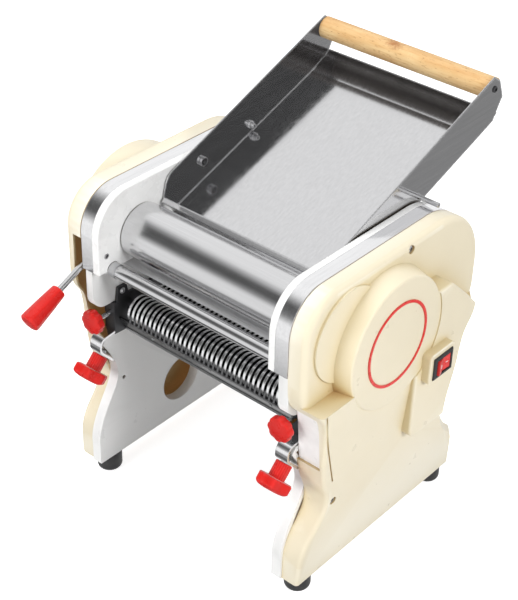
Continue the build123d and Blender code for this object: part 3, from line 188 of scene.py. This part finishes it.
class Shell:
    """Vertices and faces gathered into one mesh."""

    def __init__(self):
        self.points, self.faces = [], []

    def rings(self, rings, close_start=True, close_end=True):
        """Joins rings of equally many points, and closes the ends with a fan to their middle."""
        base, count = len(self.points), len(rings[0])
        for row in rings:
            self.points.extend(row)
        for row in range(len(rings) - 1):
            for k in range(count):
                a, b = base + row * count + k, base + row * count + (k + 1) % count
                self.faces.append((a, b, b + count, a + count))
        for wanted, row, flip in ((close_start, 0, True), (close_end, len(rings) - 1, False)):
            if wanted:
                first = base + row * count
                self.points.append(sum((Vector(p) for p in rings[row]), Vector()) / count)
                middle = len(self.points) - 1
                for k in range(count):
                    a, b = first + k, first + (k + 1) % count
                    self.faces.append((b, a, middle) if flip else (a, b, middle))
        return self

    def made(self, name):
        return mesh_object(name, self.points, self.faces)


def axes_of(axis):
    """Two directions square to an axis and to each other."""
    axis = Vector(axis).normalized()
    side = axis.cross(Vector((0, 0, 1)) if abs(axis.z) < 0.9 else Vector((0, 1, 0))).normalized()
    return side, axis.cross(side)


def ring(at, axis, radius, height, count, wave=None):
    """A ring of points round an axis, at a height along it in millimetres; wave scales it by angle."""
    side, up = axes_of(axis)
    along = Vector(axis).normalized()
    points = []
    for k in range(count):
        turn = 2 * math.pi * k / count
        reach = radius * (wave(turn) if wave else 1.0) * MM
        points.append(at + along * height * MM + (side * math.cos(turn) + up * math.sin(turn)) * reach)
    return points


PLAIN, WAVED = False, True


def turned(shell, at, axis, rows, count, wave=None):
    """A turned form of (radius, height) rows in millimetres; a third entry says if the wave shapes them."""
    return shell.rings([ring(at, axis, radius, height, count, wave if any(waved) else None)
                        for radius, height, *waved in rows])


def lobes(number, depth, sharp=1.0):
    """A wave that scales a ring into lobes with notches between them."""
    def wave(turn):
        notch = (0.5 - 0.5 * math.cos(number * turn)) ** sharp
        return 1.0 - depth * notch
    return wave


def facets(number, share):
    """A wave that flattens a ring part of the way towards a polygon."""
    def wave(turn):
        half = math.pi / number
        flat = math.cos(half) / math.cos(turn % (2 * half) - half)
        return 1.0 - share * (1.0 - flat)
    return wave


# a thread's pitch: where along it the root and the crest begin and end
THREAD_STEPS = ((0.10, "root"), (0.45, "crest"), (0.60, "crest"), (0.95, "root"))
THREAD_TIP = (0.8, 0.4)     # the chamfer's share of the root radius, and its length


def thread(root, crest, start, end, pitch):
    """The rows of a ribbed shank that reads as a thread."""
    rows, height = [(root, start)], start
    while height + pitch < end:
        rows += [(crest if part == "crest" else root, height + step * pitch) for step, part in THREAD_STEPS]
        height += pitch
    share, length = THREAD_TIP
    return rows + [(root, end), (root * share, end + length)]


# a pan head's rows and its recess, in shares of its radius and height
HEAD_ROWS = ((0.97, 0.0), (1.0, 0.25), (0.96, 0.62), (0.84, 0.88), (0.70, 1.0))
HEAD_POINTS = 36
RECESS_REACH, RECESS_HALF_WIDTH, RECESS_FLOOR = 0.52, 0.13, 0.25
CROSS, HEXAGON = "cross", "hexagon"


def recess_outline(kind, radius):
    """The corners of a cross or hexagon recess in a head of this radius, in order round it."""
    reach, half = radius * RECESS_REACH, radius * RECESS_HALF_WIDTH
    if kind == HEXAGON:
        corners = [(reach * math.cos(math.pi / 3 * k), reach * math.sin(math.pi / 3 * k)) for k in range(6)]
    else:
        corners = []
        for quarter in range(4):
            cos, sin = math.cos(quarter * math.pi / 2), math.sin(quarter * math.pi / 2)
            corners += [(u * cos + v * sin, u * sin - v * cos)
                        for u, v in ((half, half), (reach, half), (reach, -half))]
    return sorted(corners, key=lambda corner: math.atan2(corner[1], corner[0]))


def driven_head(shell, at, axis, radius, height, kind):
    """A pan head with a recess, open towards the axis's end."""
    shell.rings([ring(at, axis, radius * share, height * rise, HEAD_POINTS) for share, rise in HEAD_ROWS],
                close_end=False)
    top_ring = len(shell.points) - 1 - HEAD_POINTS
    outline = recess_outline(kind, radius)
    (side, up), along = axes_of(axis), Vector(axis).normalized()
    rim, number = len(shell.points), len(outline)
    for level in (height, height * RECESS_FLOOR):
        shell.points.extend(at + (side * u + up * v + along * level) * MM for u, v in outline)
    for k in range(number):
        a, b = rim + k, rim + (k + 1) % number
        shell.faces.append((b, a, a + number, b + number))
    shell.faces.append(tuple(range(rim + number, rim + 2 * number)))
    # the flat top between the recess and the head's last ring, bridged in the order of the angles
    spots = [(math.atan2(v, u) % (2 * math.pi), "in", rim + k) for k, (u, v) in enumerate(outline)]
    spots += [(2 * math.pi * k / HEAD_POINTS, "out", top_ring + k) for k in range(HEAD_POINTS)]
    spots.sort()
    last = {edge: index for angle, edge, index in spots}
    for angle, edge, index in spots:
        shell.faces.append((last["in"], last["out"], index))
        last[edge] = index


# ---------------------------------------------------------------- studio
CAMERA_AZIMUTH, CAMERA_ELEVATION, CAMERA_ROLL = 40.34, 34.54, 1.52
CAMERA_AT = (784.9, -812.6, 1082.2)     # millimetres, as place() takes them
LENS, SENSOR = 58.16, 24.0
SHIFT_X, SHIFT_Y = 0.0047, -0.0027
CLIP_START, CLIP_END = 0.05, 30.0

WHITE_LIGHT = (1.0, 1.0, 1.0, 1.0)
WORLD_LIGHT = 0.22
# name: place and aim in metres about the model, size in metres, watts
LAMPS = {
    "Overhead": ((-0.7, -0.1, 2.0), (0.0, 0.0, 0.25), (1.6, 1.6), 28.0),
    "Right": ((1.75, -0.20, 1.20), (0.1, 0.0, 0.2), (0.5, 0.5), 23.0),
    "Front": ((-0.3, -2.1, 0.75), (0.0, 0.0, 0.2), (1.0, 0.8), 23.0),
}
# soft dark flags that only reflections see, so that bright metal has something to show: place and aim,
# size, darkest tone, and the share of the half size at which the tone starts to rise to white
FLAGS = {
    "Flag_front": ((-0.80, -0.95, 1.05), (0.0, 0.0, 0.30), (2.4, 2.0), 0.10, 0.15),
    "Flag_right": ((1.05, 0.25, 1.75), (0.0, 0.1, 0.35), (1.5, 1.9), 0.10, 0.75),
    "Flag_low": ((0.75, 0.80, 0.03), (0.75, 0.80, 1.0), (1.1, 1.3), 0.30, 0.70),
    # painted shadow: a dark card on the floor just in front of the model, which reflections see in place of
    # its shadow there
    "Flag_floor_painted_shadow": ((-0.15, -0.27, 0.02), (-0.15, -0.27, 1.0), (1.3, 0.46), 0.10, 0.20),
}
FLOOR_SIDE, FLOOR_DROP = 12.0, 0.0002   # metres; the drop keeps it clear of the feet
FLOOR_TONE, FLOOR_ROUGHNESS = 0.74, 0.8
FLOOR_LIFT, FLOOR_MIRRORED = 0.78, 0.95     # light added for the camera, and all that reflections see


def set_view():
    """Colours come out as they are written."""
    shown = bpy.context.scene.view_settings
    shown.view_transform, shown.look, shown.exposure, shown.gamma = "Standard", "None", 0.0, 1.0


def add_camera():
    """The photograph's camera, level but for a small roll."""
    azimuth, elevation = math.radians(CAMERA_AZIMUTH), math.radians(CAMERA_ELEVATION)
    back = Vector((math.sin(azimuth) * math.cos(elevation), -math.cos(azimuth) * math.cos(elevation),
                   math.sin(elevation)))
    right = (-back).cross(Vector((0, 0, 1))).normalized()
    up = back.cross(right)
    roll = Matrix.Rotation(math.radians(CAMERA_ROLL), 3, back)
    axes = Matrix((roll @ right, roll @ up, back)).transposed().to_4x4()
    data = bpy.data.cameras.new("Camera")
    data.sensor_fit, data.sensor_height, data.sensor_width = "VERTICAL", SENSOR, SENSOR
    data.lens, data.shift_x, data.shift_y = LENS, SHIFT_X, SHIFT_Y
    data.clip_start, data.clip_end = CLIP_START, CLIP_END
    camera = bpy.data.objects.new("Camera", data)
    bpy.context.scene.collection.objects.link(camera)
    camera.matrix_world = Matrix.Translation(place(*CAMERA_AT)) @ axes
    bpy.context.scene.camera = camera


def add_world():
    """White to the camera and in reflections, plain grey as light."""
    world = bpy.data.worlds.new("Studio")
    bpy.context.scene.world = world
    world.use_nodes = True
    tree = world.node_tree
    tree.nodes.clear()
    ray = add_node(tree, "LightPath").outputs
    seen = ray["Is Camera Ray"]
    for kind in ("Is Glossy Ray", "Is Transmission Ray"):
        seen = add_node(tree, "Math", {0: seen, 1: ray[kind]}, operation="MAXIMUM").outputs[0]
    light = add_node(tree, "Background", {"Color": WHITE_LIGHT, "Strength": WORLD_LIGHT})
    shown = add_node(tree, "Background", {"Color": WHITE_LIGHT, "Strength": 1.0})
    mix = add_node(tree, "MixShader", {0: seen, 1: light.outputs[0], 2: shown.outputs[0]})
    add_node(tree, "OutputWorld", {"Surface": mix.outputs[0]})


def aim(obj, at, towards):
    """Puts a lamp or flag in its place and turns its face towards a point."""
    obj.location = at
    obj.rotation_euler = (Vector(towards) - Vector(at)).to_track_quat("-Z", "Y").to_euler()


def add_lamps():
    """Area lamps that neither the camera nor reflections see."""
    for name, (at, towards, size, watts) in LAMPS.items():
        data = bpy.data.lights.new(name, "AREA")
        data.shape, data.size, data.size_y, data.energy = "RECTANGLE", *size, watts
        lamp = bpy.data.objects.new(name, data)
        bpy.context.scene.collection.objects.link(lamp)
        aim(lamp, at, towards)
        lamp.visible_camera = lamp.visible_glossy = False


def flag_material(name, size, tone, solid):
    """Dark in the middle, and rising softly to white at the edges."""
    made = Finish(name, (0.0, 0.0, 0.0), roughness=1.0)
    scaled = made.vector("MULTIPLY", made.coords, (2 / size[0], 2 / size[1], 0.0))
    along = made.node("SeparateXYZ", {0: made.vector("ABSOLUTE", scaled.outputs[0]).outputs[0]}).outputs
    rise = made.node("MapRange", {"Value": made.number("MAXIMUM", along[0], along[1]), "From Min": solid,
                                  "From Max": 1.0, "To Min": tone, "To Max": 1.0},
                     interpolation_type="SMOOTHSTEP")
    made.show(made.node("Emission", {"Color": WHITE_LIGHT, "Strength": rise.outputs[0]}))
    return made.material


def add_flags():
    """Dark cards about the model."""
    for name, (at, towards, size, tone, solid) in FLAGS.items():
        flag = flat_sheet(name, *size)
        aim(flag, at, towards)
        flag.data.materials.append(flag_material(name, size, tone, solid))
        flag.visible_camera = flag.visible_diffuse = flag.visible_shadow = False
        flag.visible_transmission = False


def add_floor():
    """Plain white floor that fades into the background and keeps the shadow."""
    floor = flat_sheet("Floor", FLOOR_SIDE, FLOOR_SIDE)
    floor.location.z = -FLOOR_DROP
    made = Finish("Floor", (FLOOR_TONE,) * 3, roughness=FLOOR_ROUGHNESS).set(Specular_IOR_Level=0.0)
    lift = made.node("Emission", {"Color": WHITE_LIGHT, "Strength": FLOOR_LIFT})
    mirrored = made.node("Emission", {"Color": WHITE_LIGHT, "Strength": FLOOR_MIRRORED})
    lifted = made.node("AddShader", {0: made.shader.outputs[0], 1: lift.outputs[0]})
    ray, last = made.node("LightPath").outputs, made.shader
    for kind, shown in (("Is Glossy Ray", mirrored), ("Is Camera Ray", lifted)):
        last = made.node("MixShader", {0: ray[kind], 1: last.outputs[0], 2: shown.outputs[0]})
    made.show(last)
    floor.data.materials.append(made.material)


# ---------------------------------------------------------------- finishes
# painted shade colour for the white enamels' hollows, and their lighter edge colour: rubbed wear and painted
# highlight
WHITE_HOLLOW_SHADE, WHITE_EDGE_WEAR_AND_HIGHLIGHT = (0.26, 0.22, 0.17), (0.93, 0.93, 0.92)
# name, colour, painted shade colour in hollows and lighter colour on sharp edges (rubbed wear and painted
# highlight), then what differs from paint()'s own
ENAMELS = {
    "cover": ("Cream_enamel", (0.85, 0.765, 0.575), (0.30, 0.150, 0.050), (0.93, 0.88, 0.74),
              {"shaded": (0.70, 0.56, 0.28), "painted_bounce_light": 0.30}),
    "casting": ("White_enamel", (0.86, 0.86, 0.85), WHITE_HOLLOW_SHADE, WHITE_EDGE_WEAR_AND_HIGHLIGHT, {"reach": 0.03}),
    "plate": ("Plate_enamel", (0.88, 0.88, 0.87), WHITE_HOLLOW_SHADE, WHITE_EDGE_WEAR_AND_HIGHLIGHT, {"reach": 0.01, "roughness": 0.25}),
    "motor_metal": ("Motor_enamel", (0.06, 0.065, 0.07), (0.02, 0.02, 0.02), (0.2, 0.2, 0.2), {}),
}
# name, colour, grain and least and most roughness, then what differs from brushed()'s own; the grain is how
# often the scratches repeat in a metre along x, y and z, so they run along the axis with the low number
FINE_GROOVE = 0.000004
METALS = {
    "stainless": ("Stainless", (0.70, 0.70, 0.71), (400.0, 12.0, 400.0), (0.06, 0.13), {"rounded": 0.0025}),
    "strip": ("Polished_strip", (0.90, 0.90, 0.91), (300.0, 20.0, 300.0), (0.10, 0.16), {}),
    "comb": ("Comb_steel", (0.16, 0.16, 0.165), (60.0, 300.0, 300.0), (0.20, 0.32), {"rounded": 0.0014}),
    "bar": ("Satin_bar", (0.62, 0.62, 0.63), (10.0, 900.0, 900.0), (0.24, 0.34), {"groove": FINE_GROOVE}),
    "cutter": ("Cutter_steel", (0.95, 0.95, 0.96), (200.0, 300.0, 300.0), (0.14, 0.22), {"gap_shade_reach": 0.010}),
    "chrome": ("Chrome", (0.74, 0.74, 0.75), (8.0, 900.0, 900.0), (0.14, 0.20), {"groove": FINE_GROOVE}),
    "steel": ("Steel", (0.62, 0.62, 0.63), (300.0, 40.0, 300.0), (0.25, 0.38), {}),
    "black_steel": ("Black_steel", (0.10, 0.10, 0.105), (60.0, 300.0, 300.0), (0.38, 0.55), {}),
    "bronze": ("Bronze", (0.62, 0.40, 0.20), (300.0, 60.0, 60.0), (0.30, 0.45), {}),
}
# name, colour, roughness
PLASTICS = {
    "black_plastic": ("Black_plastic", (0.010, 0.010, 0.011), 0.34),
    "red_plastic": ("Red_plastic", (0.66, 0.016, 0.012), 0.27),
    "white_plastic": ("White_plastic", (0.97, 0.97, 0.96), 0.30),
}
# beech: its tones, and how often its grain, figure and pores repeat in a metre along x, y and z
PALE, AMBER, DARK = (0.80, 0.57, 0.29), (0.60, 0.31, 0.10), (0.36, 0.13, 0.03)
WOOD_FINE, WOOD_FIGURE, WOOD_PORES = (26.0, 420.0, 420.0), (14.0, 60.0, 60.0), (160.0, 700.0, 700.0)
KNOT_AT = (-14.0, 340.0, 447.0)     # millimetres, as place() takes them
KNOT_LENGTHENED = (0.62, 1.0, 1.0)      # scales the distance from it, so that it is longer along x
KNOT_CORE, KNOT_EDGE, KNOT_RAGGED = 0.0015, 0.0085, 0.003      # metres from its middle
# painted reflection: the darker tone that reflections see of the wood instead of its own colour
WOOD_PAINTED_REFLECTION = (0.10, 0.088, 0.080)        # what reflections see of the wood
# painted shade: near black colour for the spaces between the cutter rolls' discs
GAP_SHADE_TONE = (0.012, 0.012, 0.012)            # between the cutter rolls' discs


def paint(name, color, hollow_shade_color, edge_wear_and_highlight, reach=0.06, roughness=0.33, shaded=None, painted_bounce_light=0.0):
    """Enamel: faint mottling, orange peel, sharp edges made lighter by rubbed wear and painted highlight, and
    painted shade in hollows, which may take a second painted shade tone and a faint painted bounce light.
    """
    made = Finish(name, color, roughness=roughness)
    mottling = made.spread(made.noise(scale=9.0), 0.0, 1.0)
    surface = made.blend(mottling, color, darker(color, 0.965))
    # sharp edges lighter: rubbed wear and painted highlight
    surface = made.blend(made.edges(), surface, edge_wear_and_highlight)
    # painted shade: a second, more yellow shade tone on faces beside the relief, by occlusion
    if shaded:
        surface = made.blend(made.hollows(reach, deepest=0.30, open_from=0.92), surface, shaded)
    hollow_shade_mask = made.hollows(reach)
    # painted bounce light: the hollows emit their dark warm colour faintly, as if lit by light bounced inside
    # the shell
    if painted_bounce_light:
        made.set(Emission_Color=(*hollow_shade_color, 1), Emission_Strength=made.number("MULTIPLY", hollow_shade_mask, painted_bounce_light))
    # painted shade: the colour turns dark and warm in hollows, by occlusion
    made.set(Base_Color=made.blend(hollow_shade_mask, surface, hollow_shade_color),
             Roughness=made.spread(made.noise(scale=60.0), roughness - 0.06, roughness + 0.10),
             Normal=made.relief(made.noise(scale=850.0, detail=2.0), depth=0.00006, rounded=0.0012),
             Coat_Weight=0.25, Coat_Roughness=0.18)
    return made.material


def brushed(name, color, grain, rough, groove=0.00001, gap_shade_reach=0.0, rounded=0.0008):
    """Brushed metal: long fine scratches, their tone and their gloss, and, when the last but one argument is
    set, painted shade in the narrow spaces between parts about as wide as it.
    """
    made = Finish(name, color, metallic=1.0)
    lines = made.noise(1.0, detail=6.0, vector=made.stretched(*grain), roughness=0.65)
    surface = made.blend(made.spread(lines, 0.0, 1.0), darker(color, 0.90), color)
    # painted shade: the narrow spaces between close parts, such as the cutter discs, turn near black by
    # occlusion
    if gap_shade_reach:
        surface = made.blend(made.hollows(gap_shade_reach, deepest=0.22, open_from=0.72), surface, GAP_SHADE_TONE)
    clouded = made.spread(made.noise(scale=14.0, detail=3.0), 0.0, 0.05)
    made.set(Base_Color=surface, Roughness=made.number("ADD", made.spread(lines, *rough), clouded),
             Normal=made.relief(lines, groove, rounded=rounded))
    return made.material


def plastic(name, color, roughness):
    """Moulded plastic with a fine skin, faint flow marks, and sharp edges made lighter by scuffs and painted
    highlight.
    """
    made = Finish(name, color, roughness=roughness)
    flow = made.blend(made.spread(made.noise(scale=40.0), 0.0, 1.0), color, darker(color, 0.88))
    scuff_and_highlight = tuple(min(1.0, part * 1.12 + 0.02) for part in color)
    # sharp edges lighter: scuffs and painted highlight
    made.set(Base_Color=made.blend(made.edges(), flow, scuff_and_highlight),
             Roughness=made.spread(made.noise(scale=90.0), roughness - 0.05, roughness + 0.12),
             Normal=made.relief(made.noise(scale=700.0, detail=3.0), depth=0.00005, rounded=0.0006),
             Specular_IOR_Level=0.32)
    return made.material


def rubber():
    """Matt rubber with a little dust."""
    made = Finish("Rubber", (0.018, 0.018, 0.019), roughness=0.55)
    dust = made.spread(made.noise(scale=120.0), 0.0, 0.35)
    made.set(Base_Color=made.blend(dust, (0.014, 0.014, 0.015), (0.07, 0.068, 0.065)),
             Normal=made.relief(made.noise(scale=900.0), depth=0.0001))
    return made.material


def wood():
    """Turned beech: fine straight grain, pores, a soft figure and one knot."""
    made = Finish("Wood", (0.70, 0.44, 0.18), roughness=0.42)
    fine = made.noise(1.0, detail=8.0, vector=made.stretched(*WOOD_FINE), roughness=0.7)
    figure = made.noise(1.0, vector=made.stretched(*WOOD_FIGURE))
    pores = made.noise(1.0, detail=3.0, vector=made.stretched(*WOOD_PORES), roughness=0.6)
    surface = made.blend(made.spread(figure, 0.0, 1.0, start=0.35, end=0.72), PALE, AMBER)
    surface = made.blend(made.spread(fine, 0.0, 0.8, start=0.50, end=0.75), surface, AMBER)
    surface = made.blend(made.spread(pores, 0.0, 0.75, start=0.60, end=0.72), surface, DARK)
    away = made.vector("SUBTRACT", made.coords, place(*KNOT_AT))
    oval = made.vector("MULTIPLY", away.outputs[0], KNOT_LENGTHENED)
    distance = made.vector("LENGTH", oval.outputs[0]).outputs["Value"]
    ragged = made.number("ADD", distance, made.spread(made.noise(scale=260.0), -KNOT_RAGGED, KNOT_RAGGED))
    knot = made.spread(ragged, 0.85, 0.0, start=KNOT_CORE, end=KNOT_EDGE)
    surface = made.blend(knot, surface, DARK)
    # painted reflection: the wood is coloured darker for reflections only, so that polished steel beside it
    # shows a dark band, as bright metal in a white room does
    mirrored = made.node("LightPath").outputs["Is Glossy Ray"]
    made.set(Base_Color=made.blend(mirrored, surface, WOOD_PAINTED_REFLECTION),
             Roughness=made.spread(fine, 0.36, 0.55), Normal=made.relief(fine, depth=0.00012))
    return made.material


def finishes():
    """Every finish by the name of its slot."""
    made = {"rubber": rubber(), "wood": wood()}
    for recipe, table in ((paint, ENAMELS), (brushed, METALS)):
        for slot, (*row, changes) in table.items():
            made[slot] = recipe(*row, **changes)
    for slot, row in PLASTICS.items():
        made[slot] = plastic(*row)
    return made


FINISH = finishes()


# ---------------------------------------------------------------- the dressed model
# nodes with a finer finish than their slot's, and the red pieces, which reflections don't show
NODES_OF = {
    "strip": ("left_trim_strip", "right_trim_strip", "left_cutter_strap", "right_cutter_strap"),
    "bar": ("front_scraper", "rear_scraper", "cutter_front_strip"),
    "comb": ("cutter_front_comb", "cutter_rear_comb"),
    "cutter": ("cutter_front_roll", "cutter_rear_roll"),
}
FINISH_OF = {node: finish for finish, nodes in NODES_OF.items() for node in nodes}
RED_NODES = ("lever_grip", "right_upper_knob", "left_upper_knob", "right_clamp_knob", "left_clamp_knob",
             "rocker")


def dress_nodes():
    """Gives every CAD node its finish."""
    slots = {row["node"]: row["material_slot"] for row in frame["record"]["subparts"]}
    for node, obj in NODES.items():
        slot = "red_plastic" if node in RED_NODES else FINISH_OF.get(node, slots[node])
        obj.visible_glossy = node not in RED_NODES
        if not obj.data.materials:
            obj.data.materials.append(FINISH[slot])
        for material_slot in obj.material_slots:
            material_slot.material = FINISH[slot]


def add(obj, slot, body, *nodes):
    """Gives a piece its finish, its body and the CAD nodes that it stands for."""
    obj.data.materials.append(FINISH[slot])
    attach(obj, body)
    obj.visible_glossy = slot != "red_plastic"
    if nodes:
        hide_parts(*nodes)


# ---------------------------------------------------------------- knobs and grip
# rows of radius, height and wave: for the upper knobs in shares of the node's box, for the clamp knobs' heads
# in shares of the radius and in millimetres, and for their necks and the grip in millimetres
UPPER_KNOB_ROWS = (
    (0.62, 0.0, PLAIN), (0.90, 0.0, WAVED), (0.97, 0.05, WAVED), (1.0, 0.12, WAVED), (1.0, 0.66, WAVED),
    (0.975, 0.74, WAVED), (0.92, 0.79, WAVED), (0.86, 0.82, WAVED), (0.70, 0.89, PLAIN), (0.45, 0.96, PLAIN),
    (0.2, 0.995, PLAIN), (0.05, 1.0, PLAIN))
CLAMP_HEAD_ROWS = (
    (0.30, 0.0, PLAIN), (0.60, 0.4, PLAIN), (0.80, 1.2, WAVED), (0.90, 2.2, WAVED), (0.965, 3.2, WAVED),
    (0.995, 4.2, WAVED), (1.0, 5.2, WAVED), (1.0, 11.3, WAVED), (0.985, 12.2, WAVED), (0.94, 12.8, WAVED),
    (0.86, 13.0, WAVED), (0.50, 13.0, PLAIN))
CLAMP_X, CLAMP_AT, CLAMP_R, CLAMP_T, NECK_END = 126.2, (-5.2, 150.7), 19.5, 13.0, 29.7
CLAMP_NECK_ROWS = (
    (8.3, 12.8, PLAIN), (8.7, 13.2, WAVED), (8.7, NECK_END - 0.9, WAVED), (8.3, NECK_END - 0.3, PLAIN),
    (7.6, NECK_END, PLAIN), (4.0, NECK_END, PLAIN))
STUD_ROWS = thread(root=3.6, crest=4.0, start=NECK_END - 1.0, end=NECK_END + 6.3, pitch=1.25)
LEVER_DOWN, GRIP_NECK_R = 24.3, 8.0     # the rod's slope in degrees, and the grip's radius at its neck
GRIP_ROWS = (
    (3.7, 0.0, PLAIN), (7.0, 0.0, WAVED), (7.7, 0.4, WAVED), (8.0, 1.4, WAVED), (9.6, 20.0, WAVED),
    (11.0, 41.2, WAVED), (11.1, 43.8, WAVED), (10.9, 45.0, WAVED), (10.3, 45.9, WAVED), (9.2, 46.4, WAVED),
    (6.0, 46.7, PLAIN), (0.1, 46.8, PLAIN))
UPPER_LOBES, CLAMP_LOBES, NECK_FLUTES = lobes(8, 0.085, 1.6), lobes(6, 0.17, 0.75), lobes(22, 0.045)
GRIP_FLATS = facets(8, 0.55)
UPPER_POINTS, CLAMP_POINTS, NECK_POINTS, STUD_POINTS, GRIP_POINTS = 96, 120, 132, 24, 96


def upper_knob(side):
    """A domed star knob with shallow notches and a rounded rim."""
    node = side + "_upper_knob"
    low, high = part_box(node)
    radius, thick = (high[0] - low[0]) / 2 / MM, (high[1] - low[1]) / MM
    at = Vector(((low[0] + high[0]) / 2, high[1], (low[2] + high[2]) / 2))
    rows = [(radius * r, thick * h, waved) for r, h, waved in UPPER_KNOB_ROWS]
    shell = turned(Shell(), at, (0, -1, 0), rows, UPPER_POINTS, UPPER_LOBES)
    add(shell.made(side.capitalize() + "_upper_star_knob"), "red_plastic", side + " upper knob", node)


def clamp_knob(side):
    """A knob with deep notches on a fluted neck, and the steel stud that goes through the strap."""
    body, sign = side + " clamp knob", 1 if side == "right" else -1
    slope = Vector((0, math.sqrt(0.5), math.sqrt(0.5)))
    at = place(sign * CLAMP_X, *CLAMP_AT) - slope * CLAMP_T / 2 * MM
    head = [(CLAMP_R * r, height, waved) for r, height, waved in CLAMP_HEAD_ROWS]
    shell = turned(Shell(), at, slope, head, CLAMP_POINTS, CLAMP_LOBES)
    turned(shell, at, slope, CLAMP_NECK_ROWS, NECK_POINTS, NECK_FLUTES)
    add(shell.made(side.capitalize() + "_clamp_star_knob"), "red_plastic", body, side + "_clamp_knob")
    stud = turned(Shell(), at, slope, STUD_ROWS, STUD_POINTS)
    add(stud.made(side.capitalize() + "_clamp_stud"), "steel", body)


def lever_grip():
    """A tapered grip with soft flats and a blunt end."""
    low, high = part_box("lever_grip")
    down = math.radians(LEVER_DOWN)
    at = Vector(((low[0] + high[0]) / 2, high[1] - GRIP_NECK_R * math.sin(down) * MM,
                 high[2] - GRIP_NECK_R * math.cos(down) * MM))
    axis = (0, -math.cos(down), -math.sin(down))
    shell = turned(Shell(), at, axis, GRIP_ROWS, GRIP_POINTS, GRIP_FLATS)
    add(shell.made("Lever_grip_moulded"), "red_plastic", "thickness lever", "lever_grip")


# ---------------------------------------------------------------- screws and marks
OUTWARDS, INWARDS = 1, -1


def both_sides(x, y, z, facing):
    """A place on each side of the middle plane, with the axis that faces outwards or inwards there."""
    return [((sign * x, y, z), (sign * facing, 0, 0)) for sign in (-1, 1)]


COMB_FACE = (0, -12.9, -8.0)    # square to the comb's sloped front
COMB_SCREWS = [((x, 35.94, 201.18), COMB_FACE) for x in (-73.0, 6.0, 86.0)]
COVER_SCREWS = [((151.5, 151.9, 354.7), (1, 0, 0)), ((160.1, 43.0, 120.0), (1, 0, 0)),
                ((-154.3, 178.0, 350.0), (-1, 0, 0)), ((-154.3, 40.2, 123.6), (-1, 0, 0))]
LUG_BOLTS = both_sides(119.3, 39.25, 238.0, INWARDS)
LUG_WASHER = (((3.4, 0.0), (3.4, 0.4), (3.1, 0.6)), 0.5)     # its rows, and how high the head sits on it
REST_PINS = both_sides(107.6, 221.5, 364.6, INWARDS)
DOWEL_SCREWS = both_sides(109.2, 342.5, 436.2, OUTWARDS)
TRAY_PIVOTS = both_sides(107.5, 147.3, 350.7, INWARDS)
SHAFT_PLUGS = both_sides(110.3, 11.0, 297.0, INWARDS)


def add_heads(name, slot, body, rows, *nodes, washer=None):
    """One piece of driven heads; rows give places with their axes, head radius, height and recess."""
    shell = Shell()
    for spots, radius, height, recess in rows:
        for spot, axis in spots:
            at, axis = place(*spot), Vector(axis).normalized()
            if washer:
                washer_rows, seat = washer
                turned(shell, at, axis, washer_rows, HEAD_POINTS)
                at = at + axis * seat * MM
            driven_head(shell, at, axis, radius, height, recess)
    add(shell.made(name), slot, body, *nodes)


def add_screws():
    """Screw heads with their recesses, in place of the plain ones."""
    add_heads("Comb_screw_heads", "steel", "cutter unit", [(COMB_SCREWS, 1.6, 1.2, CROSS)], "comb_screws")
    add_heads("Lug_bolt_heads", "steel", "cutter unit", [(LUG_BOLTS, 2.5, 1.5, HEXAGON)], "lug_bolts",
              washer=LUG_WASHER)
    add_heads("Cover_screw_heads", "steel", "housing", [(COVER_SCREWS, 3.9, 1.9, CROSS)], "cover_screws")
    add_heads("Tray_screw_heads", "steel", "tray", [(REST_PINS, 4.4, 1.9, CROSS)])
    add_heads("Dowel_screw_heads", "black_steel", "tray", [(DOWEL_SCREWS, 3.6, 1.6, HEXAGON)], "dowel_screws")
    add_heads("Side_plate_screw_heads", "steel", "housing",
              [(TRAY_PIVOTS, 5.0, 3.0, CROSS), (SHAFT_PLUGS, 3.2, 0.4, HEXAGON)])


ROCKER_TILT = 8.0                               # degrees at rest
ROCKER_PIVOT_DEPTH = 2.0                        # millimetres behind the bezel's face, as all below
ROCKER_HALF, ROCKER_RISE, ROCKER_MIDDLE = 10.5, 2.2, 1.0    # each face from the middle to its raised end
MARK_AT = 5.6
RING_MARK = ((1.35, -0.1), (1.35, 0.16), (2.0, 0.16), (2.0, -0.1))      # radius and height
BAR_MARK = ((0.0, -0.1), (0.0, 0.12), (-0.08, 0.18))                    # growth of the outline, and height
RING_POINTS = 32
BAR_HALF_LENGTH, BAR_HALF_WIDTH = 1.6, 0.42


def add_switch_marks():
    """A raised ring and bar on the rocker's two faces."""
    low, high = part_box("switch_bezel")
    pivot = Vector((high[0] - ROCKER_PIVOT_DEPTH * MM, (low[1] + high[1]) / 2, (low[2] + high[2]) / 2))
    tilt = Matrix.Rotation(math.radians(ROCKER_TILT), 3, "Z")
    out = ROCKER_MIDDLE + ROCKER_RISE * MARK_AT / ROCKER_HALF
    for name, sign in (("Rocker_ring_mark", -1), ("Rocker_bar_mark", 1)):
        at = pivot + tilt @ Vector((out * MM, sign * MARK_AT * MM, 0))
        axis = tilt @ Vector((ROCKER_HALF, -ROCKER_RISE * sign, 0)).normalized()
        shell = Shell()
        if name == "Rocker_ring_mark":
            shell.rings([ring(at, axis, radius, height, RING_POINTS) for radius, height in RING_MARK],
                        close_start=False, close_end=False)
        else:
            side, up = axes_of(axis)
            shell.rings([[at + (axis * height + side * u * (BAR_HALF_LENGTH + growth)
                                + up * v * (BAR_HALF_WIDTH + growth)) * MM for u, v in SQUARE]
                         for growth, height in BAR_MARK])
        add(shell.made(name), "white_plastic", "rocker")


set_view()
add_camera()
add_world()
add_lamps()
add_flags()
add_floor()
dress_nodes()
for side_name in ("left", "right"):
    upper_knob(side_name)
    clamp_knob(side_name)
add_screws()
add_switch_marks()
lever_grip()
